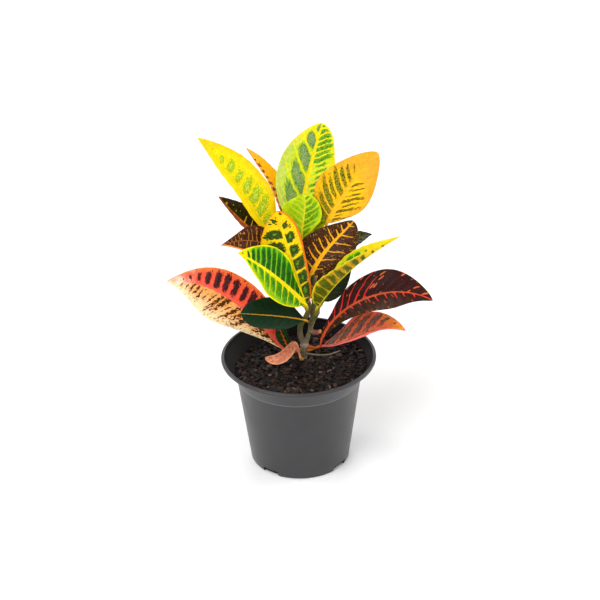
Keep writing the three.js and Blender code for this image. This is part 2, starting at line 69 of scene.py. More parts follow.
# midrib: four Bezier points from the blade's base to its tip.
# left, right: half widths that guide the outline at 0, 1/4, 1/2, 3/4 and all of the length.
# tip: how sharply the outer half narrows, from 0.5 for round to 1 for pointed.
# face: which way the upper side looks, near the base and near the tip.
# fold: how steeply each half rises from the midrib; curl: how much of that the edge loses.
# wave: height, count and phase of the ripples along the edges.
# shoot: the shoot that carries it, and the height of its node.
LEAF = dict(fold=(18, 18), curl=(10, 10))
BACK_LEAF = dict(
    left=(12, 24, 27, 22, 12), right=(12, 24, 27, 22, 12), tip=0.7, fold=(16, 16), curl=(12, 12))
LEAVES = {
    "crown_tall": dict(LEAF, midrib=((7, 33, 273), (5, 54, 294), (20, 77, 338), (31, 93, 368)),
        left=(30, 33, 35, 33, 25), right=(26, 29, 30, 27, 31), tip=0.62,
        face=((-0.05, -0.84, 0.54), (-0.04, -0.87, 0.49)), wave=(1.6, 3, 0.4), shoot=("right", 254)),
    "crown_young": dict(LEAF, midrib=((6, 25, 260), (5, 28, 276), (13, 32, 296), (9, 36, 311)),
        left=(10, 17, 23, 28, 30), right=(8, 13, 19, 20, 20), tip=0.62,
        face=((-0.09, -0.98, 0.17), (-0.05, -0.97, 0.25)), wave=(0.5, 2, 0.2), shoot=("right", 249)),
    "upper_left_long": dict(LEAF, midrib=((-29, 28, 264), (-48, 36, 301), (-77, 50, 340), (-105, 56, 371)),
        left=(22, 23, 19, 18, 18), right=(28, 33, 30, 25, 21), tip=0.9,
        face=((0.62, -0.59, 0.52), (0.5, -0.6, 0.63)), fold=(45, 28), wave=(1, 2, 0.6),
        shoot=("left", 234)),
    "upper_right_gold": dict(LEAF, midrib=((34, 34, 275), (44, 36, 292), (54, 40, 316), (90, 50, 352)),
        left=(14, 28, 33, 30, 25), right=(9, 19, 27, 29, 27), tip=0.6,
        face=((-0.22, -0.94, 0.25), (-0.18, -0.9, 0.39)), wave=(1, 2, 0.1), shoot=("right", 242)),
    "front_gold_spotted": dict(LEAF, midrib=((8, 3, 189), (-2, 1, 227), (-13, 5, 275), (-21, 12, 303)),
        left=(17, 26, 30, 30, 23), right=(22, 17, 17, 21, 25), tip=0.62,
        face=((0.12, -0.99, 0.01), (0.04, -0.98, 0.19)), wave=(1, 2, 0.3), shoot=("left", 182)),
    "front_green_striped": dict(LEAF,
        midrib=((9, -2, 194), (-15, -9, 226), (-36, -19, 253), (-63, -28, 274)), left=(22, 24, 21, 13, 4),
        right=(8, 16, 26, 28, 22), tip=0.75, face=((0.56, -0.8, 0.23), (0.58, -0.74, 0.35)),
        wave=(1.2, 3, 0.7), shoot=("left", 173)),
    "right_maroon": dict(LEAF, midrib=((14, 7, 224), (30, 12, 256), (40, 20, 258), (63, 34, 277)),
        left=(30, 32, 24, 18, 12), right=(19, 23, 25, 27, 25), tip=0.5,
        face=((-0.12, -0.93, 0.34), (0, -0.86, 0.51)), wave=(1, 2, 0.9), shoot=("right", 207)),
    "right_folded": dict(LEAF, midrib=((22, 2, 188), (43, -8, 226), (61, -16, 252), (111, -23, 288)),
        left=(12, 14, 17, 17, 9), right=(26, 28, 19, 10, 5), tip=0.75,
        face=((-0.76, 0.36, 0.55), (-0.5, 0.46, 0.73)), fold=(62, 40), curl=(0, 0), wave=(0.6, 2, 0.5),
        shoot=("right", 174)),
    "right_dark_behind": dict(LEAF, midrib=((28, 21, 184), (37, 23, 201), (47, 28, 215), (62, 32, 227)),
        left=(14, 15, 14, 11, 6), right=(14, 15, 14, 11, 6), tip=0.6,
        face=((-0.18, -0.93, 0.32), (-0.08, -0.88, 0.48)), wave=(0.6, 2, 0.1), shoot=("right", 180)),
    "right_dark_tip": dict(LEAF, midrib=((31, 26, 239), (47, 32, 244), (66, 38, 254), (83, 44, 255)),
        left=(8, 11, 12, 12, 8), right=(8, 11, 12, 10, 5), tip=0.8,
        face=((-0.19, -0.39, 0.9), (-0.05, -0.37, 0.93)), fold=(28, 28), wave=(0.4, 2, 0.8),
        shoot=("right", 231)),
    "back_left_orange": dict(LEAF, midrib=((-10, 44, 257), (-9, 58, 291), (-27, 71, 316), (-53, 85, 343)),
        left=(18, 16, 12, 12, 12), right=(15, 17, 14, 12, 12), tip=0.85,
        face=((0.66, -0.63, 0.4), (0.51, -0.47, 0.72)), fold=(40, 28), wave=(0.6, 2, 0.2),
        shoot=("right", 236)),
    "left_dark_green": dict(LEAF, midrib=((-15, 30, 240), (-37, 36, 255), (-62, 40, 276), (-84, 44, 305)),
        left=(11, 14, 17, 18, 16), right=(12, 16, 20, 22, 18), tip=0.8,
        face=((0.55, -0.31, 0.77), (0.66, -0.36, 0.66)), fold=(40, 28), wave=(0.6, 2, 0.7),
        shoot=("left", 224)),
    "left_maroon": dict(LEAF, midrib=((-22, 10, 256), (-40, 9, 272), (-62, 6, 273), (-82, -3, 270)),
        left=(10, 13, 13, 10, 6), right=(10, 18, 16, 8, 3), tip=0.8,
        face=((0.35, -0.85, 0.4), (0.2, -0.7, 0.68)), wave=(0.6, 2, 0.4), shoot=("left", 214)),
    "low_left_coral": dict(LEAF, midrib=((-16, 13, 127), (-55, 18, 183), (-96, 31, 214), (-145, 40, 202)),
        left=(8, 24, 34, 32, 18), right=(16, 27, 27, 23, 15), tip=0.85,
        face=((0.41, -0.79, 0.45), (-0.13, -0.67, 0.73)), wave=(1.6, 2, 0.6), shoot=("trunk", 121.5)),
    "low_left_green": dict(LEAF, midrib=((8, 3, 171), (-16, -2, 180), (-37, -10, 186), (-62, -18, 193)),
        left=(8, 15, 16, 19, 25), right=(9, 19, 21, 20, 19), tip=0.55,
        face=((0.39, -0.63, 0.67), (0.4, -0.6, 0.69)), wave=(0.5, 2, 0.3), shoot=("right", 161)),
    "right_big_dark": dict(LEAF, midrib=((25, 6, 138), (31, 7, 179), (95, 5, 225), (148, 0, 195)),
        left=(6, 8, 21, 30, 21), right=(3, 9, 15, 22, 14), tip=0.7,
        face=((-0.49, -0.83, 0.27), (0.08, -0.61, 0.78)), wave=(1.6, 3, 0.2), shoot=("trunk", 133)),
    "low_right_pink": dict(LEAF, midrib=((27, 14, 131), (58, 15, 131), (86, 17, 163), (119, 12, 150)),
        left=(11, 16, 22, 22, 14), right=(11, 16, 17, 16, 14), tip=0.75,
        face=((-0.18, -0.61, 0.78), (-0.03, -0.6, 0.8)), fold=(20, 68), wave=(1.2, 2, 0.5),
        shoot=("trunk", 127)),
    "low_small_dark": dict(LEAF, midrib=((-10, 9, 128), (-14, 10, 138), (-18, 8, 150), (-22, 9, 163)),
        left=(4, 5, 7, 8, 7), right=(3, 5, 6, 7, 7), tip=0.6,
        face=((0.19, -0.98, 0.07), (0.17, -0.98, 0.05)), wave=(0.3, 1, 0), shoot=("trunk", 127)),
    "low_withered": dict(LEAF, midrib=((2, 3, 123), (-6, 3, 169), (-9, 1, 111), (-37, 6, 122)),
        left=(3, 5, 7, 9, 11), right=(2, 3, 4, 6, 9), tip=0.55, face=((0.3, -0.9, 0.2), (-0.1, -0.6, 0.8)),
        fold=(10, 10), curl=(0, 0), wave=(0.3, 1, 0), shoot=("trunk", 117)),
    "back_high": dict(BACK_LEAF, midrib=((14, 38, 253), (20, 60, 278), (28, 90, 303), (30, 122, 315)),
        face=((-0.2, -0.6, 0.8), (-0.1, -0.3, 0.95)), wave=(1, 2, 0.3), shoot=("right", 245)),
    "back_left_mid": dict(BACK_LEAF, midrib=((0, 38, 225), (-14, 62, 243), (-30, 92, 253), (-42, 124, 249)),
        face=((0.2, -0.5, 0.85), (-0.1, 0.2, 1)), wave=(1, 2, 0.8), shoot=("right", 221)),
    "back_right_mid": dict(BACK_LEAF, midrib=((22, 38, 209), (30, 62, 225), (42, 92, 233), (52, 122, 229)),
        face=((-0.2, -0.5, 0.85), (0.1, 0.2, 1)), wave=(1, 2, 0.1), shoot=("right", 209)),
    "back_low": dict(BACK_LEAF, midrib=((12, 36, 185), (8, 66, 199), (2, 100, 199), (-2, 130, 183)),
        face=((0, -0.4, 0.9), (0, 0.4, 0.9)), wave=(1.2, 2, 0.5), shoot=("right", 189)),
    "back_low_left": dict(BACK_LEAF, midrib=((2, 34, 177), (-12, 54, 189), (-30, 80, 193), (-42, 100, 185)),
        left=(7, 13, 14, 12, 9), right=(7, 13, 14, 12, 9), face=((0.2, -0.4, 0.9), (-0.3, 0.4, 0.9)),
        wave=(1, 2, 0.2), shoot=("left", 178)),
    "back_low_right": dict(BACK_LEAF, midrib=((25, 34, 172), (34, 58, 188), (44, 84, 194), (48, 108, 186)),
        left=(7, 14, 16, 14, 10), right=(7, 13, 14, 12, 9), face=((-0.2, -0.4, 0.9), (0.2, 0.4, 0.9)),
        wave=(1, 2, 0.7), shoot=("right", 165)),
}

BLADE = {
    "thickness": 0.45, "edge_thickness": 0.3, "rib": 1.0, "rib_width": 1.7, "least_half_width": 0.3,
    "base_roundness": 0.6,
    "end_crowding": 0.09, "across_crowding": 0.1, "shoulder": 0.05, "quilting": 0.35, "frill": 0.35,
}
PETIOLE = {"radius": 1.35, "foot_radius": 2.1, "sunk": 0.9}
BLADE_STEPS = 150
PETIOLE_STEPS = 14
LENGTH_STEPS = 40  # for measuring a midrib
ACROSS = 35  # points from edge to edge on each side of the blade


# ---------- tools of the shapes ----------

def mix(a, b, share):
    return a + (b - a) * share


def smooth(value, low, high):
    share = min(max((value - low) / (high - low), 0), 1)
    return share * share * (3 - 2 * share)


def bezier(points, t):
    """The point and the direction at t."""
    a, b, c, d = points
    point = a * (1 - t) ** 3 + b * 3 * t * (1 - t) ** 2 + c * 3 * t * t * (1 - t) + d * t ** 3
    slope = (b - a) * (1 - t) ** 2 + (c - b) * 2 * t * (1 - t) + (d - c) * t * t
    return point, slope.normalized()


def span_at(values, t):
    """Which span of an even row of values t falls in, and how far along it."""
    place = t * (len(values) - 1)
    i = min(int(place), len(values) - 2)
    return i, place - i


def around(values, i):
    """The ends of span i and the values before and after it, carried on straight past the row's ends."""
    here, following = values[i], values[i + 1]
    before = values[i - 1] if i > 0 else 2 * here - following
    after = values[i + 2] if i + 2 < len(values) else 2 * following - here
    return before, here, following, after


def catmull_rom(points, t):
    """The centripetal curve through the points, as a point and a direction at t."""
    i, u = span_at(points, min(max(t, 0), 1))
    before, here, following, after = around(points, i)
    spans = ((before, here), (here, following), (following, after))
    first, middle, last = (max((b - a).length, 1e-4) ** 0.5 for a, b in spans)
    ahead = (following - here) / middle
    out = ((here - before) / first - (following - before) / (first + middle) + ahead) * middle
    back = (ahead - (after - here) / (middle + last) + (after - following) / last) * middle
    c2 = -3 * here + 3 * following - 2 * out - back
    c3 = 2 * here - 2 * following + out + back
    point = here + out * u + c2 * u * u + c3 * u ** 3
    slope = out + 2 * c2 * u + 3 * c3 * u * u
    return point, slope.normalized()


def shoot_points(name):
    return [Vector(p[:3]) for p in SHOOTS[name]]


def shoot_radius(name, t):
    radii = [p[3] for p in SHOOTS[name]]
    i, u = span_at(radii, t)
    return mix(radii[i], radii[i + 1], u)


def shoot_at(name, z):
    """The centre, direction and radius of a shoot at a height."""
    points = shoot_points(name)
    low, high = 0.0, 1.0
    for _ in range(30):
        middle = (low + high) / 2
        if catmull_rom(points, middle)[0].z < z:
            low = middle
        else:
            high = middle
    return *catmull_rom(points, low), shoot_radius(name, low)


def flattened(vector, axis):
    """The vector without its share along the axis, one long."""
    return (vector - axis * vector.dot(axis)).normalized()


def placed(name, data):
    """A new object with its data, linked into the scene."""
    made = bpy.data.objects.new(name, data)
    bpy.context.scene.collection.objects.link(made)
    return made


def mesh_object(name, bm, scale=MM):
    """Turns a finished bmesh, in millimetres unless its scale says otherwise, into an object."""
    bmesh.ops.scale(bm, vec=(scale, scale, scale), verts=bm.verts)
    mesh = bpy.data.meshes.new(name)
    bm.to_mesh(mesh)
    bm.free()
    return placed(name, mesh)


def new_piece(name, bm, material, slot, *replaced):
    """Makes a piece of the croton from a finished bmesh in millimetres."""
    for face in bm.faces:
        face.smooth = True
    piece = mesh_object(name, bm)
    piece.data.materials.append(material)
    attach(piece, "root")
    if replaced:
        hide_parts(*replaced)
    return piece


# ---------- leaves ----------

def half_width(guides, tip, t):
    """Half width at t, from five guide widths on an oval outline that may narrow to a point."""
    i, u = span_at(guides, t)
    before, here, following, after = around(guides, i)
    guide = 0.5 * (2 * here + (following - before) * u
                   + (2 * before - 5 * here + 4 * following - after) * u * u
                   + (3 * here - before - 3 * following + after) * u ** 3)
    oval = (4 * t * (1 - t)) ** (BLADE["base_roundness"] if t < 0.5 else tip)
    return max(oval * guide, BLADE["least_half_width"])


def spread(share, crowding):
    """Crowds even steps towards both ends."""
    return share - crowding * math.sin(2 * math.pi * share)


def leaf_axes(leaf, along, t):
    face = Vector(leaf["face"][0]).lerp(Vector(leaf["face"][1]), t)
    up = flattened(face, along)
    return up, along.cross(up)


def petiole_path(leaf):
    """From inside the shoot's skin, out and round into the midrib's direction."""
    centre, along, radius = shoot_at(*leaf["shoot"])
    base, forward = bezier([Vector(p) for p in leaf["midrib"]], 0)
    outward = flattened(base - centre, along)
    start = centre + outward * (radius + SOIL["clearance"])
    pull = 0.4 * (start - base).length
    return [start - outward * PETIOLE["sunk"], start + outward * pull, base - forward * pull, base]


def leaf_ring(leaf, path, step):
    """What one ring of the leaf needs: its place, axes and widths, and how flat it is."""
    if step <= PETIOLE_STEPS:
        t = step / PETIOLE_STEPS
        centre, along = bezier(path, t)
        up, right = leaf_axes(leaf, along, 0)
        radius = mix(PETIOLE["foot_radius"], PETIOLE["radius"], smooth(t, 0, 0.35))
        return {"t": t - 1, "centre": centre, "up": up, "right": right, "radius": radius, "flat": 0}
    t = spread((step - PETIOLE_STEPS) / BLADE_STEPS, BLADE["end_crowding"])
    centre, along = bezier([Vector(p) for p in leaf["midrib"]], t)
    up, right = leaf_axes(leaf, along, t)
    widths = [half_width(leaf[side], leaf["tip"], t) for side in ("left", "right")]
    return {"t": t, "centre": centre, "up": up, "right": right, "radius": PETIOLE["radius"],
            "widths": widths, "flat": smooth(t, 0, BLADE["shoulder"])}


def lateral_phase(half, along, reach):
    """Counts the side veins: a whole number lies on one. They lean and bend towards the tip."""
    foot = along - (half["Lean"] + half["Bend"] * reach) * reach
    return foot * (1 + half["Crowding"] * foot) / half["Spacing"]


def blade_point(leaf, look, length, ring, s, under):
    """A point of the blade's upper side or underside at s, from -1 at the left edge to 1 at the right."""
    half, side = (0, -1) if s < 0 else (1, 1)
    t, width = ring["t"], ring["widths"][half]
    reach = abs(s) * width
    phase = lateral_phase(look["halves"][half], t * length, reach) + 0.5 * half
    slope = math.radians(leaf["fold"][half] - leaf["curl"][half] * abs(s))
    height, count, start = leaf["wave"]
    turns = count * t + start + 0.25 * side
    ripple = height * s * s * math.sin(2 * math.pi * turns) * math.sin(math.pi * t)
    fine = math.sin(2 * math.pi * (phase + 0.25))
    frill = BLADE["frill"] * s ** 4 * fine * math.sin(math.pi * t)
    quilt = -BLADE["quilting"] * math.cos(2 * math.pi * phase) * math.sin(math.pi * abs(s)) ** 0.7
    rib = math.exp(-(reach / BLADE["rib_width"]) ** 2)
    lift = (quilt * math.sin(math.pi * t) ** 0.5 if 0 < abs(s) < 1 else 0) + 0.3 * rib
    normal = ring["up"] * math.cos(slope) - ring["right"] * side * math.sin(slope) if s else ring["up"]
    point = ring["centre"] + ring["right"] * side * reach * math.cos(slope)
    point += ring["up"] * (reach * math.sin(slope) + ripple + frill) + normal * lift
    if under:
        body = mix(BLADE["thickness"], BLADE["edge_thickness"], abs(s))
        point -= normal * (body + BLADE["rib"] * rib * (1 - 0.6 * t))
    return point


def leaf_mesh(leaf, look):
    """One closed skin round petiole and blade, rolled up from a grid: length by girth."""
    girth = 2 * ACROSS
    path = petiole_path(leaf)
    midrib = [Vector(p) for p in leaf["midrib"]]
    samples = [bezier(midrib, i / LENGTH_STEPS)[0] for i in range(LENGTH_STEPS + 1)]
    length = sum((b - a).length for a, b in zip(samples, samples[1:]))
    rings = [leaf_ring(leaf, path, step) for step in range(PETIOLE_STEPS + BLADE_STEPS + 1)]
    bm = bmesh.new()
    bmesh.ops.create_grid(bm, x_segments=len(rings) - 1, y_segments=girth, size=0.5)
    place = bm.verts.layers.float_vector.new("place")  # share of the length, share of the width, underside
    span = bm.verts.layers.float_vector.new("span")  # along, across and in from the edge
    for vert in bm.verts:
        ring = rings[round((vert.co.x + 0.5) * (len(rings) - 1))]
        j = round((vert.co.y + 0.5) * girth) % girth
        under = j >= ACROSS
        share = (girth - 1 - j if under else j) / (ACROSS - 1)
        s = 2 * share - 1
        s = math.copysign(spread(abs(s), BLADE["across_crowding"]), s) if abs(s) > 1e-6 else 0
        angle = math.pi * (1 - (j + 0.5) / ACROSS)
        spoke = ring["right"] * math.cos(angle) + ring["up"] * math.sin(angle)
        point = ring["centre"] + spoke * ring["radius"]
        width = ring["radius"]
        if ring["flat"] > 0:
            width = ring["widths"][0 if s < 0 else 1]
            point = point.lerp(blade_point(leaf, look, length, ring, s, under), ring["flat"])
        vert.co = point
        along = ring["t"] * length
        vert[place] = (ring["t"], s, under)
        vert[span] = (along, s * width, (1 - abs(s)) * width)
    bmesh.ops.remove_doubles(bm, verts=bm.verts, dist=1e-5)
    bmesh.ops.holes_fill(bm, edges=[edge for edge in bm.edges if edge.is_boundary])
    bmesh.ops.recalc_face_normals(bm, faces=bm.faces)
    return bm


# ---------- tools of the materials ----------

def paint(code):
    """An sRGB hex colour as linear red, green, blue and alpha."""
    channels = [int(code[i:i + 2], 16) / 255 for i in (1, 3, 5)]
    return (*[c / 12.92 if c <= 0.04045 else ((c + 0.055) / 1.055) ** 2.4 for c in channels], 1)


def add(tree, kind, *feeds, named=None, **settings):
    """Adds a node with its settings, or a math node where its kind is an operation in capitals.

    Each feed is a value, a node or an output for the next input. None skips one.
    """
    if kind.isupper():
        kind, settings["operation"] = "ShaderNodeMath", kind
    node = tree.nodes.new(kind)
    for setting, value in settings.items():
        setattr(node, setting, value)
    for key, feed in [*enumerate(feeds), *(named or {}).items()]:
        if isinstance(feed, bpy.types.Node):
            tree.links.new(feed.outputs[0], node.inputs[key])
        elif isinstance(feed, bpy.types.NodeSocket):
            tree.links.new(feed, node.inputs[key])
        elif feed is not None:
            node.inputs[key].default_value = feed
    return node


def new_material(name, **settings):
    """A material with a principled surface, and its settings on that surface's own sockets."""
    material = bpy.data.materials.new(name)
    material.use_nodes = True
    surface = material.node_tree.nodes["Principled BSDF"]
    for setting, value in settings.items():
        surface.inputs[setting.replace("_", " ")].default_value = value
    return material, material.node_tree, surface


def coat(tree, surface, colour, height, strength, depth):
    """Gives the surface its colour and a fine relief, its depth in millimetres."""
    relief = {"Strength": strength, "Distance": depth * MM, "Height": height}
    bump = add(tree, "ShaderNodeBump", named=relief)
    tree.links.new(colour.outputs[0], surface.inputs["Base Color"])
    tree.links.new(bump.outputs[0], surface.inputs["Normal"])


# ---------- the blades' pattern ----------
# What one half of a blade may show. Widths, spacings and sizes are in millimetres.
# Side veins leave the midrib every Spacing, lean towards the tip by Lean and Bend, and crowd towards it.
# They run out to Vein reach, a share Vein gaps of them is missing, and only those from First vein to
# Last vein show, both counted from the base.
# A blotch lies in each cell between two of them, from Start to End of the half's width.
# End tip is its End at the blade's tip, where that differs.
# Fill is the share of the cell that it takes, at the base and at the tip.
# Blotches come in at Begin and have faded out at Stop, both shares of the blade's length.
# Ragged is how far their edges stray, in lumps of Ragged size, and Cell change how much they differ.

HALF = {
    "Ground": "#f0d020", "Ground tip": "#f0d020", "Tip start": 0.7, "Tip end": 1.0,
    "Ground edge": "#f0d020", "Edge start": 0.7,
    "Rim": "#50802a", "Blotch": "#2f6a1c", "Heart": "#2f6a1c", "Heart start": 0.55,
    "Spacing": 8.0, "Lean": 0.6, "Bend": 0.004, "Crowding": 0.0,
    "Start": 0.1, "End": 0.8, "End tip": 0.0, "Fill": 0.8, "Fill tip": 0.8, "Begin": -0.3, "Stop": 1.1,
    "Ragged": 0.35, "Ragged size": 3.0, "Cell change": 0.5,
    "Vein": "#f0d840", "Vein width": 1.6, "Vein reach": 1.0, "Vein gaps": 0.0,
    "First vein": -20.0, "Last vein": 90.0,
    "Midrib": "#f6de40", "Midrib width": 3.6, "Vein tip": "#f6de40",
    "Margin": "#f0d840", "Margin width": 0.8,
    "Network": 0.25, "Fleck": "#f0d840", "Flecks": 0.0, "Fleck size": 3.2, "Seed": 0.0,
}


def blade_pattern():
    """Paints one half of a croton blade along its veins: ground, blotches, veins and margin."""
    tree = bpy.data.node_groups.new("croton blade pattern", "ShaderNodeTree")
    for label, value in HALF.items():
        kind = "NodeSocketColor" if isinstance(value, str) else "NodeSocketFloat"
        tree.interface.new_socket(label, in_out="INPUT", socket_type=kind)
    tree.interface.new_socket("Colour", in_out="OUTPUT", socket_type="NodeSocketColor")
    tree.interface.new_socket("Veins", in_out="OUTPUT", socket_type="NodeSocketFloat")
    look = add(tree, "NodeGroupInput").outputs
    range_node, mix_node = "ShaderNodeMapRange", "ShaderNodeMixRGB"
    soft = {"interpolation_type": "SMOOTHSTEP"}

    # where the point lies: shares of the length and of the half's width, and distances
    place, span = (
        add(tree, "ShaderNodeSeparateXYZ",
            add(tree, "ShaderNodeAttribute", attribute_name=name).outputs["Vector"]).outputs
        for name in ("place", "span"))
    along = add(tree, "MAXIMUM", place[0], 0.0)
    out = add(tree, "ABSOLUTE", place[1])
    reach = add(tree, "ABSOLUTE", span[1])
    is_right = add(tree, "GREATER_THAN", place[1], 0.0)
    seeded = add(tree, "ShaderNodeCombineXYZ", span[0], span[1], look["Seed"])
    # slow bends of about 11 mm, and fine raggedness of 1.4 mm
    wobble = add(tree, "ShaderNodeTexNoise", seeded, named={"Scale": 1 / 11, "Detail": 1.0})
    wobble = add(tree, "ADD", wobble, -0.5)
    fine = add(tree, "ShaderNodeTexNoise", seeded, named={"Scale": 1 / 1.4, "Detail": 2.0})
    fine = add(tree, "ADD", fine, -0.5)

    # counts the side veins from the base: a whole number lies on one
    slant = add(tree, "MULTIPLY_ADD", reach, look["Bend"], look["Lean"])
    rise = add(tree, "MULTIPLY", slant, reach)
    foot = add(tree, "SUBTRACT", span[0], rise)
    crowd = add(tree, "MULTIPLY_ADD", foot, look["Crowding"], 1.0)
    foot = add(tree, "MULTIPLY", foot, crowd)
    foot = add(tree, "MULTIPLY_ADD", wobble, 5.0, foot)
    phase = add(tree, "DIVIDE", foot, look["Spacing"])
    phase = add(tree, "MULTIPLY_ADD", is_right, 0.5, phase)

    # the nearest side vein, the cell between two, and draws for each
    vein = add(tree, "ADD", phase, 0.5)
    vein = add(tree, "FLOOR", vein)
    cell = add(tree, "FLOOR", phase)
    seed_side = add(tree, "MULTIPLY_ADD", is_right, 37.3, look["Seed"])
    vein_key = add(tree, "MULTIPLY_ADD", vein, 7.7, seed_side)
    vein_draw = add(tree, "ShaderNodeTexWhiteNoise", None, vein_key, noise_dimensions="1D")
    cell_key = add(tree, "MULTIPLY_ADD", cell, 3.3, seed_side)
    cell_draws = add(tree, "ShaderNodeTexWhiteNoise", None, cell_key, noise_dimensions="1D")
    cell_draws = add(tree, "ShaderNodeSeparateColor", cell_draws.outputs["Color"]).outputs
    off_vein = add(tree, "SUBTRACT", phase, vein)
    off_vein = add(tree, "ABSOLUTE", off_vein)
    off_vein_mm = add(tree, "MULTIPLY", off_vein, look["Spacing"])

    # distance from the midrib and its side veins, flaring where they join
    shown = add(tree, "GREATER_THAN", vein_draw, look["Vein gaps"])
    started = add(tree, "GREATER_THAN", vein, look["First vein"])
    unended = add(tree, "LESS_THAN", vein, look["Last vein"])
    vein_reach = add(tree, "MULTIPLY_ADD", vein_draw, 0.5, 0.6)
    for share in (look["Vein reach"], shown, started, unended):
        vein_reach = add(tree, "MULTIPLY", vein_reach, share)
    vein_reach = add(tree, "MAXIMUM", vein_reach, 0.01)
    taper = add(tree, "DIVIDE", out, vein_reach)
    taper = add(tree, range_node, taper, 0.0, 1.0, 0.5, 0.15)
    ended = add(tree, "SUBTRACT", out, vein_reach)
    ended = add(tree, range_node, ended, 0.0, 0.1, 0.0, 6.0)
    vein_half = add(tree, "MULTIPLY", taper, look["Vein width"])
    to_vein = add(tree, "SUBTRACT", off_vein_mm, vein_half)
    to_vein = add(tree, "ADD", to_vein, ended)
    rib_half = add(tree, range_node, along, 0.0, 1.0, 0.5, 0.16)
    rib_half = add(tree, "MULTIPLY", rib_half, look["Midrib width"])
    to_rib = add(tree, "SUBTRACT", reach, rib_half)
    to_tree = add(tree, "SMOOTH_MIN", to_vein, to_rib, 1.4)
    to_tree = add(tree, "MULTIPLY_ADD", fine, 0.9, to_tree)
    veins = add(tree, range_node, to_tree, -0.3, 0.4, 1.0, 0.0, **soft)

    # how deep inside its cell's blotch the point lies: 0 at the blotch's edge, 1 in its middle
    fill = add(tree, range_node, along, 0.0, 1.0, look["Fill"], look["Fill tip"])
    come_and_go = 0.18  # of the length, within which blotches come in and fade out
    fading = add(tree, "ADD", look["Stop"], -come_and_go)
    fade = add(tree, range_node, along, fading, look["Stop"], 1.0, 0.0)
    begun = add(tree, "ADD", look["Begin"], come_and_go)
    begin = add(tree, range_node, along, look["Begin"], begun)
    size = add(tree, "ADD", cell_draws[0], -0.5)
    size = add(tree, "MULTIPLY_ADD", size, look["Cell change"], 1.0)
    size = add(tree, "MULTIPLY", size, fade)
    size = add(tree, "MULTIPLY", size, begin)
    half_fill = add(tree, "MULTIPLY", fill, size)
    half_fill = add(tree, "MAXIMUM", half_fill, 0.02)
    from_middle = add(tree, "MULTIPLY_ADD", off_vein, -2.0, 1.0)
    from_middle = add(tree, "DIVIDE", from_middle, half_fill)
    end = add(tree, range_node, along, 0.0, 1.0, look["End"], look["End tip"])
    middle = add(tree, "ADD", look["Start"], end)
    middle = add(tree, "MULTIPLY", middle, 0.5)
    shift = add(tree, "ADD", cell_draws[1], -0.5)
    shift = add(tree, "MULTIPLY", shift, look["Cell change"])
    middle = add(tree, "MULTIPLY_ADD", shift, 0.2, middle)
    half_long = add(tree, "SUBTRACT", end, look["Start"])
    half_long = add(tree, "MULTIPLY", half_long, 0.5)
    half_long = add(tree, "MULTIPLY", half_long, size)
    half_long = add(tree, "MAXIMUM", half_long, 0.02)
    off_middle = add(tree, "SUBTRACT", out, middle)
    off_middle = add(tree, "ABSOLUTE", off_middle)
    off_middle = add(tree, "DIVIDE", off_middle, half_long)
    # by cubes a blotch is a rounded oblong
    across_cubed = add(tree, "POWER", from_middle, 3.0)
    along_cubed = add(tree, "POWER", off_middle, 3.0)
    distance = add(tree, "ADD", across_cubed, along_cubed)
    distance = add(tree, "POWER", distance, 1 / 3)
    # raggedness and flecks are drawn out along the side veins
    stretched = add(tree, "MULTIPLY", phase, look["Spacing"])
    stretched = add(tree, "MULTIPLY", stretched, 1.8)
    grain = add(tree, "ShaderNodeCombineXYZ", stretched, span[1], look["Seed"])
    grain_scale = add(tree, "DIVIDE", 1.0, look["Ragged size"])
    ragged = add(tree, "ShaderNodeTexNoise", grain, named={"Scale": grain_scale, "Detail": 2.5})
    ragged = add(tree, "ADD", ragged, -0.5)
    ragged = add(tree, "MULTIPLY", ragged, look["Ragged"])
    depth = add(tree, "SUBTRACT", 1.0, distance)
    depth = add(tree, "MULTIPLY_ADD", ragged, 3.0, depth)
    # where the fill is next to nothing there are no blotches at all
    absent = add(tree, range_node, half_fill, 0.03, 0.08, 2.0, 0.0)
    depth = add(tree, "SUBTRACT", depth, absent)

    # the colours, one over another
    tip = add(tree, "MULTIPLY_ADD", wobble, 0.3, along)
    tip = add(tree, range_node, tip, look["Tip start"], look["Tip end"], **soft)
    edge = add(tree, "MULTIPLY_ADD", wobble, 0.3, out)
    edge = add(tree, range_node, edge, look["Edge start"], 1.0, **soft)
    colour = add(tree, mix_node, edge, look["Ground"], look["Ground edge"])
    colour = add(tree, mix_node, tip, colour, look["Ground tip"])
    for label, low, high in (("Rim", -0.12, 0.04), ("Blotch", 0.02, 0.22)):
        share = add(tree, range_node, depth, low, high, **soft)
        colour = add(tree, mix_node, share, colour, look[label])
    heart_end = add(tree, "ADD", look["Heart start"], 0.2)
    heart = add(tree, range_node, depth, look["Heart start"], heart_end, **soft)
    colour = add(tree, mix_node, heart, colour, look["Heart"])
    # the network of the finest veins, 2.4 mm wide
    mesh = add(tree, "ShaderNodeTexVoronoi", seeded, feature="DISTANCE_TO_EDGE", named={"Scale": 1 / 2.4})
    mesh = add(tree, range_node, mesh.outputs["Distance"], 0.0, 0.16, 1.0, 0.0)
    mesh_share = add(tree, "MULTIPLY", mesh, look["Network"])
    colour = add(tree, mix_node, mesh_share, colour, look["Vein"])
    # flecks: a dot of a size of its own in some cells of a Voronoi pattern
    fleck_scale = add(tree, "DIVIDE", 1.0, look["Fleck size"])
    dots = add(tree, "ShaderNodeTexVoronoi", grain, named={"Scale": fleck_scale})
    dot_draw = add(tree, "ShaderNodeSeparateColor", dots.outputs["Color"])
    dot_size = add(tree, range_node, dot_draw, 0.4, 1.0, 0.0, 0.5)
    dot = add(tree, "LESS_THAN", dots.outputs["Distance"], dot_size)
    dot = add(tree, "MULTIPLY", dot, look["Flecks"])
    colour = add(tree, mix_node, dot, colour, look["Fleck"])
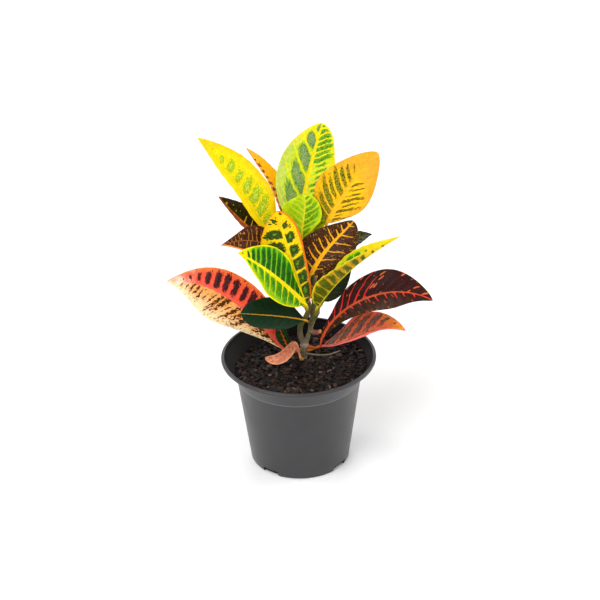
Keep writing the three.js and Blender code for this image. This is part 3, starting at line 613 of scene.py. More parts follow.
    # the veins, then the margin, over all of it
    vein_colour = add(tree, mix_node, tip, look["Vein"], look["Vein tip"])
    rib_colour = add(tree, mix_node, tip, look["Midrib"], look["Vein tip"])
    on_rib = add(tree, range_node, to_rib, 0.0, 2.0, 1.0, 0.0, **soft)
    vein_colour = add(tree, mix_node, on_rib, vein_colour, rib_colour)
    colour = add(tree, mix_node, veins, colour, vein_colour)
    inside = add(tree, "MULTIPLY_ADD", fine, 0.9, span[2])
    inside = add(tree, "MULTIPLY_ADD", wobble, 2.5, inside)
    inside = add(tree, "SUBTRACT", inside, look["Margin width"])
    margin = add(tree, range_node, inside, -0.4, 0.5, 1.0, 0.0, **soft)
    colour = add(tree, mix_node, margin, colour, look["Margin"])
    # soft patches of a few millimetres, as the cuticle is thicker here and there
    patches = add(tree, "ShaderNodeTexNoise", seeded, named={"Scale": 1 / 3.5, "Detail": 3.0})
    patches = add(tree, range_node, patches, 0.3, 0.7, 0.86, 1.12)
    colour = add(tree, "ShaderNodeVectorMath", colour, patches, operation="MULTIPLY")
    on_petiole = add(tree, range_node, place[0], -0.02, 0.03, 1.0, 0.0)
    colour = add(tree, mix_node, on_petiole, colour, look["Midrib"])
    add(tree, "NodeGroupOutput", colour, veins)
    return tree


# ---------- how each blade looks ----------

def look(left=None, right=None, under="#b0b468", under_share=0.4, petiole="#b59a3a", **both):
    """What both halves share, overlaid by what each has of its own. An _ stands for a space."""
    halves = []
    for own in (left, right):
        given = {key.replace("_", " "): value for key, value in {**both, **(own or {})}.items()}
        half = {**HALF, **given}
        half["End tip"] = half["End tip"] or half["End"]
        halves.append(half)
    return {"halves": halves, "under": under, "under_share": under_share, "petiole": petiole}


LOOKS = {
    "crown_tall": look(Ground="#cbe010", Ground_tip="#ffe400", Tip_start=0.68, Tip_end=0.97, Vein="#ece614",
        Midrib="#f8e011", Vein_tip="#ffe200", Midrib_width=6.5, Seed=3.1,
        # the pale grey-green heart of each blotch on the left half is a painted sheen
        left=dict(Ground_edge="#b4cc66", Edge_start=0.5, Spacing=32, Crowding=0.003, Lean=1, Bend=0.012,
            Start=0.04, End_tip=0.55, Fill=0.92, Fill_tip=0.62, Ragged=0.4, Ragged_size=4, Rim="#86b43c",
            Blotch="#4a8440", Heart="#6a9468", Heart_start=0.3, Vein_width=3.4, Network=0.35,
            Margin="#d6e060", Margin_width=1),
        right=dict(Ground_edge="#e6e40c", Edge_start=0.6, Spacing=6.5, Lean=0.55, Start=0.03, Fill=0.85,
            Fill_tip=0.7, Cell_change=0.9, Ragged=0.55, Rim="#86c80c", Blotch="#389608", Heart="#1c7a08",
            Network=0.4, Margin="#f4de08", Margin_width=1.4)),
    "crown_young": look(Ground="#a8ce08", Ground_tip="#c8da14", Ground_edge="#bcd810", Vein="#dce428",
        Midrib="#e2e028", Vein_tip="#dfe030", Midrib_width=2.8, Vein_width=0.9, Spacing=6.5, Lean=0.7,
        Margin="#d2de18", Rim="#98c60c", Network=0.3, Seed=8.2,
        left=dict(Blotch="#9cc60a", Heart="#88b808", Fill=0.7, End=0.7),
        right=dict(Blotch="#5c9c04", Heart="#478604", Fill=1.1, Start=-0.1, End=1, Fill_tip=0.6,
            End_tip=0.7)),
    "upper_left_long": look(Ground="#ffdc00", Ground_tip="#ffc60c", Ground_edge="#ffd600", Vein="#ffe210",
        Midrib="#ffdf08", Vein_tip="#ffcc1c", Midrib_width=2.6, Margin="#ffd208", Margin_width=0.6,
        Spacing=14, Network=0.1, Seed=1.7, under="#e0cc50",
        left=dict(Fill=0, Fill_tip=0, Vein="#ffd800"),
        # the pale heart of each blotch on the right half is a painted sheen
        right=dict(Start=-0.02, End=0.66, End_tip=0.5, Fill_tip=0.66, Stop=0.88, Ragged=1, Ragged_size=2,
            Rim="#d8d808", Blotch="#8cb80c", Heart="#cfdc60", Heart_start=0.7, Lean=0.35,
            Ground_edge="#ffc40c", Edge_start=0.75, Network=0.35)),
    "upper_right_gold": look(Ground="#ffc000", Ground_tip="#f8a42c", Tip_start=0.62, Tip_end=0.85,
        Ground_edge="#ffae14", Edge_start=0.6, Vein="#ffcc10", Midrib="#ffc020", Vein_tip="#ffb430",
        Midrib_width=6, Margin="#f4a038", Seed=5.5, Ragged_size=2.2, under="#d0b878",
        left=dict(Spacing=13, Crowding=0.005, Bend=0.008, Start=0.05, End=0.88, Fill=1.1, Fill_tip=0.55,
            Stop=0.88, Ragged=0.6, Rim="#b08a14", Blotch="#4c5008", Heart="#3c6418", Heart_start=0.45,
            Vein_width=2.6, Network=0.5),
        right=dict(Ground_edge="#fca62c", Edge_start=0.5, Spacing=7.5, Lean=1.1, Bend=0, Start=0.08,
            End=0.85, End_tip=0.65, Fill=0.75, Fill_tip=0.5, Stop=0.8, Ragged=1, Rim="#c08a1c",
            Blotch="#5c4c10", Heart="#464c1c", Cell_change=0.9, Network=0.3)),
    "front_gold_spotted": look(Ground="#ffd000", Ground_tip="#ffbe00", Ground_edge="#ffc600",
        Vein="#ffd800", Midrib="#ffdc00", Vein_tip="#ffcf08", Midrib_width=5.6, Spacing=16, Lean=0.15,
        Start=0.06, End=1.1, End_tip=0.56, Fill=1.4, Fill_tip=0.42, Ragged=0.4, Cell_change=0.9,
        Rim="#3c6c08", Blotch="#103c0c", Heart="#4c941c", Heart_start=0.7, Vein_width=3.2, Fleck="#1c4a0c",
        Flecks=1, Fleck_size=5.5, Network=0.1, Seed=2.4, under="#c8a850", petiole="#8a6418",
        left=dict(Margin="#e89a18", Margin_width=1),
        right=dict(Lean=0.35, Margin="#ec7a1c", Margin_width=1.9)),
    "front_green_striped": look(Ground="#8cbc08", Ground_tip="#ffe400", Tip_start=0.84, Tip_end=0.95,
        Midrib="#ffe200", Vein_tip="#ffe200", Midrib_width=5.4, Margin="#f2e400", Margin_width=1.4,
        Seed=4.4, Network=0.15, Bend=0, Fill=1.1, under="#8cac34", petiole="#6c6418",
        left=dict(Ground_edge="#a8c806", Edge_start=0.8, Spacing=10, Lean=-0.5, Start=0, End=0.88,
            End_tip=0.6, Fill_tip=0.6, Rim="#6cac08", Blotch="#388c04", Heart="#187404", Vein="#dce400",
            Vein_width=1.8, Ragged=0.5),
        right=dict(Ground_edge="#88bc08", Edge_start=0.85, Lean=0.7, Start=-0.2, End=0.96, Fill_tip=0.75,
            Stop=1, Cell_change=0.3, Ragged=0.15, Rim="#5cac08", Blotch="#0c7404", Heart="#024a02",
            Heart_start=0.3, Vein="#8cc00c", Vein_width=0.7)),
    "right_maroon": look(Ground="#34140e", Ground_tip="#38180f", Ground_edge="#2c110c", Fill=0, Fill_tip=0,
        Vein="#ffae14", Midrib="#ffb414", Vein_tip="#e8a020", Midrib_width=5.2, Vein_width=2.4,
        Margin="#44200f", Margin_width=0.4, Fleck="#b89440", Flecks=0.7, Fleck_size=2.4, Seed=6.1,
        Network=0.08, under="#5a3026", petiole="#a87018",
        left=dict(Lean=0.35, Vein_reach=0.8),
        right=dict(Spacing=13, Lean=0.65, Vein_reach=0.7, Vein_width=1.8)),
    "right_folded": look(Ground_tip="#ffd608", Tip_start=0.6, Tip_end=0.85, Ground_edge="#e4cc0c",
        Vein="#dccc18", Midrib="#d8c410", Vein_tip="#f0c810", Midrib_width=2.6, Margin="#ecd818",
        Margin_width=1.3, Seed=7.7, Network=0.15, Heart_start=0.4, under="#8c8420", under_share=0.1,
        petiole="#7c7410",
        left=dict(Ground="#a8d408", Spacing=13, Lean=0.5, Fill=0.9, Stop=0.8, Rim="#60b808",
            Blotch="#208808", Heart="#0c4408"),
        right=dict(Ground="#cc8c10", Spacing=12, Lean=0.3, Start=-0.2, End=1.1, End_tip=0.6, Fill=1.3,
            Fill_tip=0.1, Ragged=0.8, Ragged_size=8, Rim="#b07c10", Blotch="#566404", Heart="#384804",
            Vein_width=0.9, Cell_change=0.8)),
    "right_dark_behind": look(Ground="#1d2816", Ground_tip="#232e1a", Ground_edge="#1a2214", Fill=0,
        Fill_tip=0, Vein="#3c4c24", Midrib="#5a5c28", Vein_tip="#4a5a2a", Midrib_width=2, Vein_width=0.8,
        Margin="#2a2c1a", Margin_width=0.5, Seed=9.3, under="#3a4030"),
    "right_dark_tip": look(Ground="#5a5c38", Ground_tip="#3c3c28", Ground_edge="#2c2c1e", Edge_start=0.5,
        Spacing=7, Rim="#4a4c2e", Blotch="#3c3e26", Heart="#2c2e1e", Vein="#6a6a40", Midrib="#8a7a3a",
        Vein_tip="#5a5a34", Midrib_width=2, Vein_width=0.8, Margin="#141410", Seed=1.3, under="#4a4c38"),
    "back_left_orange": look(Ground="#ffb000", Ground_tip="#ffb418", Ground_edge="#ffac10", Vein="#ffb810",
        Midrib="#ffb81c", Vein_tip="#ffb42a", Midrib_width=2.2, Vein_width=1.4, Lean=0.3, End=1, Fill=0.95,
        Fill_tip=0.5, Stop=0.98, Ragged=0.6, Rim="#8a6a10", Blotch="#2a2610", Heart="#1c1c0c",
        Cell_change=0.8, Seed=3.9, under="#d09030",
        left=dict(Margin="#f0705a", Margin_width=1.4),
        right=dict(Margin="#f8a028", Fill=0, Fill_tip=0)),
    "left_dark_green": look(Ground="#12160a", Ground_tip="#1c1a0c", Ground_edge="#14140a", Fill=0,
        Fill_tip=0, Vein="#d8b830", Midrib="#ee9030", Vein_tip="#c8603a", Midrib_width=2.4, Vein_width=1.8,
        Vein_reach=0.6, Vein_gaps=0.2, Spacing=9, Lean=0.2, Margin="#20140c", Margin_width=0.5,
        Fleck="#b8b83c", Flecks=0.6, Fleck_size=6, Network=0.05, Seed=2.9, under="#5a3a2a",
        left=dict(Ground="#b0562a", Ground_edge="#8a3420", Margin="#b04a3a", Flecks=0)),
    "left_maroon": look(Ground="#38120a", Ground_tip="#b06a54", Tip_start=0.86, Ground_edge="#40160c",
        Fill=0, Fill_tip=0, Vein="#b07424", Midrib="#a8602a", Vein_tip="#f0b0a0", Midrib_width=1.2,
        Vein_width=0.9, Spacing=4.5, Lean=0.1, Vein_gaps=0.2, Margin="#6a2416", Margin_width=0.5,
        Fleck="#c88a3a", Flecks=0.8, Fleck_size=3, Seed=4.8, Network=0.15, under="#6a3a2c",
        left=dict(Ground_edge="#e07028", Edge_start=0.72, Margin="#ff8a3a", Margin_width=1.4)),
    "low_left_coral": look(Tip_start=0.78, Ground_tip="#ffe8c4", Vein_tip="#ffdcc4", Midrib="#ff6450",
        Midrib_width=5.4, Network=0.1, Seed=6.6, under="#d09070", petiole="#8a3a3a",
        left=dict(Ground="#ffb466", Ground_edge="#ffe8b8", Edge_start=0.2, Lean=0.5, Start=0.08, End=0.6,
            Fill=0.55, Fill_tip=0.42, Ragged=1.6, Ragged_size=3.2, Cell_change=1.5, Stop=0.95,
            Rim="#e8701e", Blotch="#5a2a0c", Heart="#2c1a0c", Heart_start=0.3, Vein="#ffb058", Vein_width=1,
            Margin="#ffe8b0", Fleck="#8a3c10", Flecks=0.6, Fleck_size=3.6),
        right=dict(Ground="#ff5434", Ground_edge="#ff7a34", Edge_start=0.6, Spacing=11, Lean=0.1,
            Start=0.05, End=0.82, Fill=0.66, Fill_tip=0.6, Begin=0.1, Stop=0.9, Ragged=0.4, Rim="#b83a34",
            Blotch="#34181e", Heart="#22121a", Vein="#ff664c", Vein_width=2.2, Margin="#ff9048",
            Fleck="#4a1818", Flecks=1, Fleck_size=5.5)),
    "low_left_green": look(Ground="#0c260f", Ground_tip="#182e1e", Ground_edge="#0e2812", Fill=0,
        Fill_tip=0, Vein="#163618", Midrib="#e0a020", Vein_tip="#c8a038", Midrib_width=1.5, Vein_width=0.8,
        Vein_reach=0.05, Spacing=9, Lean=0.8, Margin="#16341c", Margin_width=0.4, Seed=7.1, Network=0.06,
        under="#5a6a50", petiole="#6a4a2a",
        # the left half, the nearer and lower one, is painted a little lighter and greyer: a painted sheen
        left=dict(Ground="#16301c", Ground_edge="#1c3624")),
    "right_big_dark": look(Ground="#26100d", Ground_tip="#2a1613", Ground_edge="#1e0d0b", Fill=0,
        Fill_tip=0, Vein="#e03028", Midrib="#c8502a", Vein_tip="#f04628", Midrib_width=3.4, Lean=0.4,
        Bend=0, Margin="#281210", Margin_width=0.4, Fleck="#e86c34", Fleck_size=6, Seed=8.8, Network=0.06,
        Spacing=10, under="#6a3a34", petiole="#b8541c",
        left=dict(Lean=1.1, Vein_width=2.6, First_vein=2, Last_vein=9, Flecks=0.8),
        right=dict(Ground="#2a1a10", Vein_width=2, Vein_reach=0.45, First_vein=5, Vein_gaps=0.2,
            Ground_edge="#38280c", Edge_start=0.6, Flecks=0.3)),
    "low_right_pink": look(Ground="#f8784c", Ground_tip="#ffb030", Tip_start=0.66, Ground_edge="#f4645a",
        Vein="#fa6a50", Midrib="#f4705e", Vein_tip="#ffac3c", Midrib_width=2.2, Spacing=14, Lean=1.3,
        Start=-0.1, End=1.1, Fill=1.25, Fill_tip=0.5, Stop=0.95, Ragged=0.9, Ragged_size=4.5,
        Cell_change=0.9, Rim="#8a5a44", Blotch="#4a4438", Heart="#6a6a5a", Heart_start=0.3,
        Margin="#f4767a", Seed=5.2, under="#d8807a", petiole="#e08a30",
        right=dict(Ground_edge="#ff7a74", Edge_start=0.4, Margin_width=2.4, End=0.6)),
    "low_small_dark": look(Ground="#1e3814", Ground_tip="#26401c", Ground_edge="#1e3816", Fill=0,
        Fill_tip=0, Vein="#3c5a20", Midrib="#d8642c", Vein_tip="#a06a2c", Midrib_width=2, Vein_width=0.7,
        Spacing=6, Margin="#2a3c1c", Margin_width=0.4, Seed=2.2, under="#4a5a30"),
    "low_withered": look(Ground="#f4946c", Ground_tip="#f4a47a", Ground_edge="#f8a878", Vein="#d87860",
        Midrib="#e08058", Vein_tip="#ec9068", Midrib_width=1.4, Vein_width=0.8, Spacing=7, Margin="#f8b080",
        Margin_width=0.5, Rim="#e48c6c", Blotch="#d08064", Heart="#bc7458", Fill=0.5, Ragged=0.8, Seed=9.9,
        under="#d09460", petiole="#b09038"),
}
BACK_LIKE = {
    "back_high": "crown_tall", "back_left_mid": "upper_right_gold", "back_right_mid": "front_green_striped",
    "back_low": "right_maroon", "back_low_left": "right_big_dark", "back_low_right": "low_right_pink",
}
for number, (hidden, seen) in enumerate(BACK_LIKE.items()):
    halves = [{**half, "Seed": 11.0 + number} for half in LOOKS[seen]["halves"]]
    LOOKS[hidden] = {**LOOKS[seen], "halves": halves}


def blade_material(name, look, pattern):
    """Croton leaf: living tissue under a waxy cuticle, deep in colour, with a soft and broken shine."""
    material, tree, surface = new_material(
        f"croton leaf {name}", Roughness=0.38, Specular_IOR_Level=0.12, Subsurface_Weight=0.04,
        Subsurface_Radius=(1.0, 0.9, 0.4), Subsurface_Scale=1.2 * MM)
    place = add(tree, "ShaderNodeAttribute", attribute_name="place")
    place = add(tree, "ShaderNodeSeparateXYZ", place.outputs["Vector"])
    halves = []
    for half in look["halves"]:
        feeds = {key: paint(value) if isinstance(value, str) else value for key, value in half.items()}
        halves.append(add(tree, "ShaderNodeGroup", node_tree=pattern, named=feeds))
    side = add(tree, "ShaderNodeMapRange", place.outputs[1], -0.01, 0.01)
    colour = add(tree, "ShaderNodeMixRGB", side, halves[0].outputs[0], halves[1].outputs[0])
    veins = add(tree, "ShaderNodeMix", side, None, halves[0].outputs[1], halves[1].outputs[1])
    under = add(tree, "ShaderNodeMixRGB", look["under_share"], colour, paint(look["under"]))
    colour = add(tree, "ShaderNodeMixRGB", place.outputs[2], colour, under)
    on_petiole = add(tree, "ShaderNodeMapRange", place.outputs[0], -0.35, 0.0, 1.0, 0.0)
    colour = add(tree, "ShaderNodeMixRGB", on_petiole, colour, paint(look["petiole"]))
    # cuticle grain of about 0.7 mm, coarser than life so that it shows
    spot = add(tree, "ShaderNodeTexCoord").outputs["Object"]
    grain = add(tree, "ShaderNodeTexNoise", spot, named={"Scale": 1 / (0.7 * MM), "Detail": 2.0})
    height = add(tree, "MULTIPLY_ADD", veins, 0.8, grain)
    coat(tree, surface, colour, height, 0.35, 0.25)
    return material


# ---------- stem ----------

# Steps between two points of a shoot, sides of its tube, cells that fuse the shoots, its swollen nodes,
# and how deep the bark's fissures and lumps are.
STEM = {
    "steps": 16, "sides": 24, "cell": 0.55, "swelling": 0.45, "swelling_reach": 1.3, "fissures": 0.22,
    "lumps": 0.2,
}
NODE_HEIGHTS = {
    "trunk": (117.5, 121.5, 127, 133), "left": (174, 186, 214, 224), "right": (161, 174, 189, 207, 231),
}


def shoot_skin(bm, name):
    """A round tube along one shoot, a little swollen at its nodes, with both ends closed."""
    points = shoot_points(name)
    steps = STEM["steps"] * (len(points) - 1)
    made = bmesh.ops.create_grid(bm, x_segments=steps, y_segments=STEM["sides"], size=0.5)["verts"]
    for vert in made:
        t = vert.co.x + 0.5
        angle = 2 * math.pi * (vert.co.y + 0.5)
        centre, along = catmull_rom(points, t)
        side = flattened(Vector((1, 0, 0.01)), along)
        radius = shoot_radius(name, t)
        for height in NODE_HEIGHTS.get(name, ()):
            radius += STEM["swelling"] * math.exp(-((centre.z - height) / STEM["swelling_reach"]) ** 2)
        vert.co = centre + (side * math.cos(angle) + along.cross(side) * math.sin(angle)) * radius
    bmesh.ops.remove_doubles(bm, verts=made, dist=1e-4)
    bmesh.ops.holes_fill(bm, edges=[edge for edge in bm.edges if edge.is_boundary])


def applied(piece):
    """Makes the piece's modifiers part of its mesh."""
    finished = bpy.data.meshes.new_from_object(piece.evaluated_get(bpy.context.evaluated_depsgraph_get()))
    piece.modifiers.clear()
    piece.data = finished


def stem_piece():
    bm = bmesh.new()
    for name in SHOOTS:
        shoot_skin(bm, name)
    bmesh.ops.recalc_face_normals(bm, faces=bm.faces)
    piece = new_piece("croton_stem", bm, stem_bark(), "stem_bark", "stem")
    fuse = piece.modifiers.new("fuse", "REMESH")
    fuse.mode = "VOXEL"
    fuse.voxel_size = STEM["cell"] * MM
    fuse.use_smooth_shade = True
    applied(piece)
    bm = bmesh.new()
    bm.from_mesh(piece.data)
    bmesh.ops.smooth_vert(bm, verts=bm.verts, factor=0.5, use_axis_x=True, use_axis_y=True, use_axis_z=True)
    for vert in bm.verts:
        spot = vert.co / MM
        fissure = noise.noise(Vector((spot.x * 0.9, spot.y * 0.9, spot.z * 0.18)))
        lump = noise.noise(spot * 0.35)
        vert.co += vert.normal * (STEM["fissures"] * fissure + STEM["lumps"] * lump) * MM
    bm.to_mesh(piece.data)
    bm.free()


def stem_bark():
    """Young croton bark: green tissue under a thin grey-brown cork that splits lengthways."""
    material, tree, surface = new_material("young croton bark", Roughness=0.72)
    spot = add(tree, "ShaderNodeTexCoord").outputs["Object"]
    # cork splits about 1 mm wide and 6 mm long
    long_way = add(tree, "ShaderNodeMapping", spot, named={"Scale": (1 / MM, 1 / MM, 0.17 / MM)})
    splits = add(tree, "ShaderNodeTexNoise", long_way, named={"Scale": 0.9, "Detail": 4.0})
    patches = add(tree, "ShaderNodeTexNoise", spot, named={"Scale": 1 / (7 * MM), "Detail": 3.0})
    height = add(tree, "ShaderNodeSeparateXYZ", spot)
    woody = add(tree, "ShaderNodeMapRange", height.outputs[2], 118 * MM, 170 * MM, 1.0, 0.0)
    green = add(tree, "ShaderNodeMixRGB", patches, paint("#4c5424"), paint("#6e6c3a"))
    cork = add(tree, "ShaderNodeMixRGB", splits, paint("#3c2e20"), paint("#a08c6c"))
    cork_share = add(tree, "MULTIPLY_ADD", woody, 0.75, patches)
    cork_share = add(tree, "ShaderNodeMapRange", cork_share, 0.5, 0.95, interpolation_type="SMOOTHSTEP")
    colour = add(tree, "ShaderNodeMixRGB", cork_share, green, cork)
    # the fork is swollen and pale, and the cork above it is brown where leaves have dropped
    for middle, reach, share, code in ((134, 9, 0.7, "#b4a292"), (178, 14, 0.5, "#7c5232")):
        away = add(tree, "ADD", height.outputs[2], -middle * MM)
        away = add(tree, "ABSOLUTE", away)
        near = add(tree, "ShaderNodeMapRange", away, 0.0, reach * MM, share, 0.0)
        near = add(tree, "MULTIPLY_ADD", near, splits, 0.2)
        near = add(tree, "ShaderNodeMapRange", near, 0.2, 0.6, 0.0, share, interpolation_type="SMOOTHSTEP")
        colour = add(tree, "ShaderNodeMixRGB", near, colour, paint(code))
    # the cut stub, which alone lies so far right at its height, is maroon with a dry yellow end
    stub_end = add(tree, "ShaderNodeMapRange", height.outputs[0], 22 * MM, 25 * MM)
    stub_colour = add(tree, "ShaderNodeMixRGB", stub_end, paint("#8a4644"), paint("#d8a02c"))
    on_stub = add(tree, "ShaderNodeMapRange", height.outputs[0], 16.5 * MM, 18 * MM)
    above = add(tree, "GREATER_THAN", height.outputs[2], 140 * MM)
    below = add(tree, "LESS_THAN", height.outputs[2], 156 * MM)
    on_stub = add(tree, "MULTIPLY", on_stub, above)
    on_stub = add(tree, "MULTIPLY", on_stub, below)
    colour = add(tree, "ShaderNodeMixRGB", on_stub, colour, stub_colour)
    coat(tree, surface, colour, splits, 0.5, 0.3)
    return material


# ---------- soil ----------

SOIL_RINGS = 46
SOIL_SIDES = 200
CRUMB_COUNT = 2000
CRUMB_SEED = 20
CRUMB_SIZES = (0.8, 3.2)


def outside_radius(z):
    """Radius of the pot's outside below the lip, at a height."""
    if z < POT["step"]:
        return mix(POT["foot"], POT["body_top"], z / POT["step"])
    share = (z - POT["step"]) / (POT["height"] - POT["lip_height"] - POT["step"])
    return mix(POT["collar_foot"], POT["collar_top"], share)


def soil_radius(z):
    return outside_radius(z) - POT["wall"] - SOIL["clearance"]


def soil_height(x, y):
    """The soil's broad swell and slope, without its lumps."""
    broad = math.sin(0.071 * x + 0.9) * math.cos(0.063 * y - 0.4)
    lumps = math.sin(0.23 * x - 0.17 * y) * math.sin(0.19 * y + 0.11 * x + 1.3)
    return SOIL["level"] + SOIL["slope"] * x + SOIL["swell"] * (0.55 * broad + 0.45 * lumps)


def soil_edge(angle):
    """How far out the soil's top meets the pot's wall, which depends on its own height there."""
    radius = soil_radius(SOIL["level"])
    for _ in range(5):
        radius = soil_radius(soil_height(radius * math.cos(angle), radius * math.sin(angle)))
    return radius


def soil_piece():
    """The soil's body: a lumpy disc, with its side and bottom drawn down from the edge."""
    bm = bmesh.new()
    bmesh.ops.create_grid(bm, x_segments=SOIL_RINGS, y_segments=SOIL_SIDES, size=0.5)
    for vert in bm.verts:
        angle = 2 * math.pi * (vert.co.y + 0.5)
        reach = soil_edge(angle) * (vert.co.x + 0.5)
        x, y = reach * math.cos(angle), reach * math.sin(angle)
        spot = Vector((x, y, 0))
        lump = noise.fractal(spot / 5, 0.9, 2.1, 4) + 0.6 * abs(noise.noise(spot / 2.2))
        vert.co = (x, y, soil_height(x, y) + lump - 0.6)
    bmesh.ops.remove_doubles(bm, verts=bm.verts, dist=1e-3)
    for z in (POT["step"] - 1, POT["floor"] + SOIL["clearance"]):
        rim = [each for each in bm.edges if each.is_boundary]
        drawn = bmesh.ops.extrude_edge_only(bm, edges=rim)["geom"]
        for vert in (each for each in drawn if isinstance(each, bmesh.types.BMVert)):
            turned = Vector((vert.co.x, vert.co.y, 0)).normalized() * soil_radius(z)
            vert.co = (turned.x, turned.y, z)
    bmesh.ops.holes_fill(bm, edges=[each for each in bm.edges if each.is_boundary])
    bmesh.ops.recalc_face_normals(bm, faces=bm.faces)
    new_piece("potting_soil", bm, peat(), "potting_soil", "soil")


def crumb_pieces():
    """Loose crumbs of bark and peat, half sunk in the soil's top."""
    draw = random.Random(CRUMB_SEED)
    trunk = Vector(SHOOTS["trunk"][1][:2])
    bm = bmesh.new()
    shade = bm.verts.layers.float.new("shade")
    for _ in range(CRUMB_COUNT):
        angle = 2 * math.pi * draw.random()
        reach = (soil_edge(angle) - 2) * math.sqrt(draw.random())
        spot = Vector((reach * math.cos(angle), reach * math.sin(angle)))
        size = mix(*CRUMB_SIZES, draw.random() ** 2.2)
        if (spot - trunk).length < SHOOTS["trunk"][0][3] + size:
            continue
        made = bmesh.ops.create_icosphere(bm, subdivisions=1, radius=1)["verts"]
        tone = draw.random()
        long_side = draw.uniform(1.0, 2.2)
        turn = Matrix.Rotation(draw.uniform(0, 2 * math.pi), 3, "Z")
        turn = turn @ Matrix.Rotation(draw.uniform(-0.7, 0.7), 3, "X")
        sunk = soil_height(*spot) + draw.uniform(-0.3, 0.9) * size * 0.5
        for vert in made:
            rough = vert.co * draw.uniform(0.72, 1.15)
            shaped = turn @ Vector((rough.x * long_side, rough.y, rough.z * 0.75)) * size
            vert.co = shaped + Vector((*spot, sunk))
            vert[shade] = tone
    piece = new_piece("soil_crumbs", bm, bark_crumbs(), "potting_soil", "soil")
    for polygon in piece.data.polygons:
        polygon.use_smooth = False


def peat():
    """Moist peat: nearly black, dull, with fine fibres and grains."""
    material, tree, surface = new_material("moist peat", Roughness=0.9, Specular_IOR_Level=0.2)
    spot = add(tree, "ShaderNodeTexCoord").outputs["Object"]
    # grains of about 1.5 mm
    grains = add(tree, "ShaderNodeTexNoise", spot, named={"Scale": 1 / (1.5 * MM), "Detail": 5.0})
    share = add(tree, "ShaderNodeMapRange", grains, 0.4, 0.75)
    colour = add(tree, "ShaderNodeMixRGB", share, paint("#080504"), paint("#241812"))
    coat(tree, surface, colour, grains, 0.8, 0.8)
    return material


def bark_crumbs():
    """Composted pine bark: broken chips from black to red-brown, a few of them dry and pale."""
    material, tree, surface = new_material("composted bark", Roughness=0.55, Specular_IOR_Level=0.25)
    shade = add(tree, "ShaderNodeAttribute", attribute_name="shade").outputs["Fac"]
    ramp = add(tree, "ShaderNodeValToRGB", shade)
    stops = ramp.color_ramp.elements
    stops[0].color, stops[1].color = paint("#0a0605"), paint("#7a6458")
    for place, code in ((0.5, "#160d0a"), (0.82, "#2c1a12"), (0.95, "#4c3426")):
        stops.new(place).color = paint(code)
    spot = add(tree, "ShaderNodeTexCoord").outputs["Object"]
    # fibres about 0.6 mm apart
    fibres = add(tree, "ShaderNodeTexNoise", spot, named={"Scale": 1 / (0.6 * MM), "Detail": 3.0})
    dark = add(tree, "ShaderNodeMapRange", fibres, 0.3, 0.7, 0.55, 1.25)
    colour = add(tree, "ShaderNodeVectorMath", ramp, dark, operation="MULTIPLY")
    coat(tree, surface, colour, fibres, 0.6, 0.4)
    return material


# ---------- pot ----------

def pot_profile():
    """Radius and height round the wall's section, from the middle of the underside to that of the floor."""
    height, rim, wall, step, floor = (POT[key] for key in ("height", "rim", "wall", "step", "floor"))
    body_top, collar_foot, collar_top = POT["body_top"], POT["collar_foot"], POT["collar_top"]
    inner = rim - POT["lip_width"]
    bottom = height - POT["lip_height"]
    flat = POT["foot"] - 2.6
    outer = [(0, 0), (flat, 0)]
    outer += [(flat + 2.4 * math.sin(a), 1.6 - 1.6 * math.cos(a)) for a in (0.5, 1.0, 1.45)]
    outer += [(outside_radius(z), z) for z in (2.2, 12, 40, 70, step - 3)]
    outer += [(body_top + 0.05, step - 1.1), (body_top + 0.3, step - 0.5),
              (collar_foot - 0.25, step), (collar_foot + 0.1, step + 0.6)]
    outer += [(outside_radius(z), z) for z in (step + 2, step + 9, bottom - 4, bottom - 1)]
    lip = [(collar_top + 0.4, bottom - 0.2), (rim - 2.2, bottom + 0.1), (rim - 0.9, bottom + 0.5),
           (rim - 0.2, bottom + 1.2), (rim, bottom + 2.1), (rim - 0.1, height - 1.5),
           (rim - 0.7, height - 0.6), (rim - 1.7, height - 0.1), (inner + 1.2, height),
           (inner + 0.4, height - 0.4), (inner, height - 1.2), (inner - 0.3, bottom + 1.4)]
    inside = [(collar_top - wall, bottom - 0.2), (collar_foot - wall, step), (body_top - wall, step - 1),
              (outside_radius(floor) - wall, floor), (0, floor)]
    return outer + lip + inside


def pot_piece():
    bm = bmesh.new()
    verts = [bm.verts.new((radius, 0, z)) for radius, z in pot_profile()]
    edges = [bm.edges.new(pair) for pair in zip(verts, verts[1:])]
    bmesh.ops.spin(bm, geom=verts + edges, cent=(0, 0, 0), axis=(0, 0, 1), angle=2 * math.pi,
                   steps=POT["sides"], use_merge=True)
    bmesh.ops.remove_doubles(bm, verts=bm.verts, dist=1e-4)
    bmesh.ops.recalc_face_normals(bm, faces=bm.faces)
    pot = new_piece("nursery_pot", bm, moulded_plastic(), "pot_plastic", "pot")
    cutter = drain_cutter()
    cut = pot.modifiers.new("drain", "BOOLEAN")
    cut.object, cut.operation, cut.solver = cutter, "DIFFERENCE", "EXACT"
    applied(pot)
    bpy.data.objects.remove(cutter)
    sharp_by_angle(pot, POT["smooth_below"])


def drain_cutter():
    """The blocks that cut the drain notches out of the foot's corner."""
    bm = bmesh.new()
    spacing = 360 / DRAIN["count"]
    size = Matrix.Diagonal((DRAIN["depth"], DRAIN["width"], 2 * DRAIN["height"], 1))
    for i in range(DRAIN["count"]):
        angle = math.radians(DRAIN["first_angle"] + spacing * i)
        place = Matrix.Rotation(angle, 4, "Z") @ Matrix.Translation((DRAIN["radius"], 0, 0)) @ size
        bmesh.ops.create_cube(bm, size=1, matrix=place)
    return mesh_object("drain_cutter", bm)


def sharp_by_angle(piece, degrees):
    """Shades the piece smooth but for edges steeper than an angle."""
    bm = bmesh.new()
    bm.from_mesh(piece.data)
    for face in bm.faces:
        face.smooth = True
    for edge in bm.edges:
        edge.smooth = edge.calc_face_angle(0) < math.radians(degrees)
    bm.to_mesh(piece.data)
    bm.free()


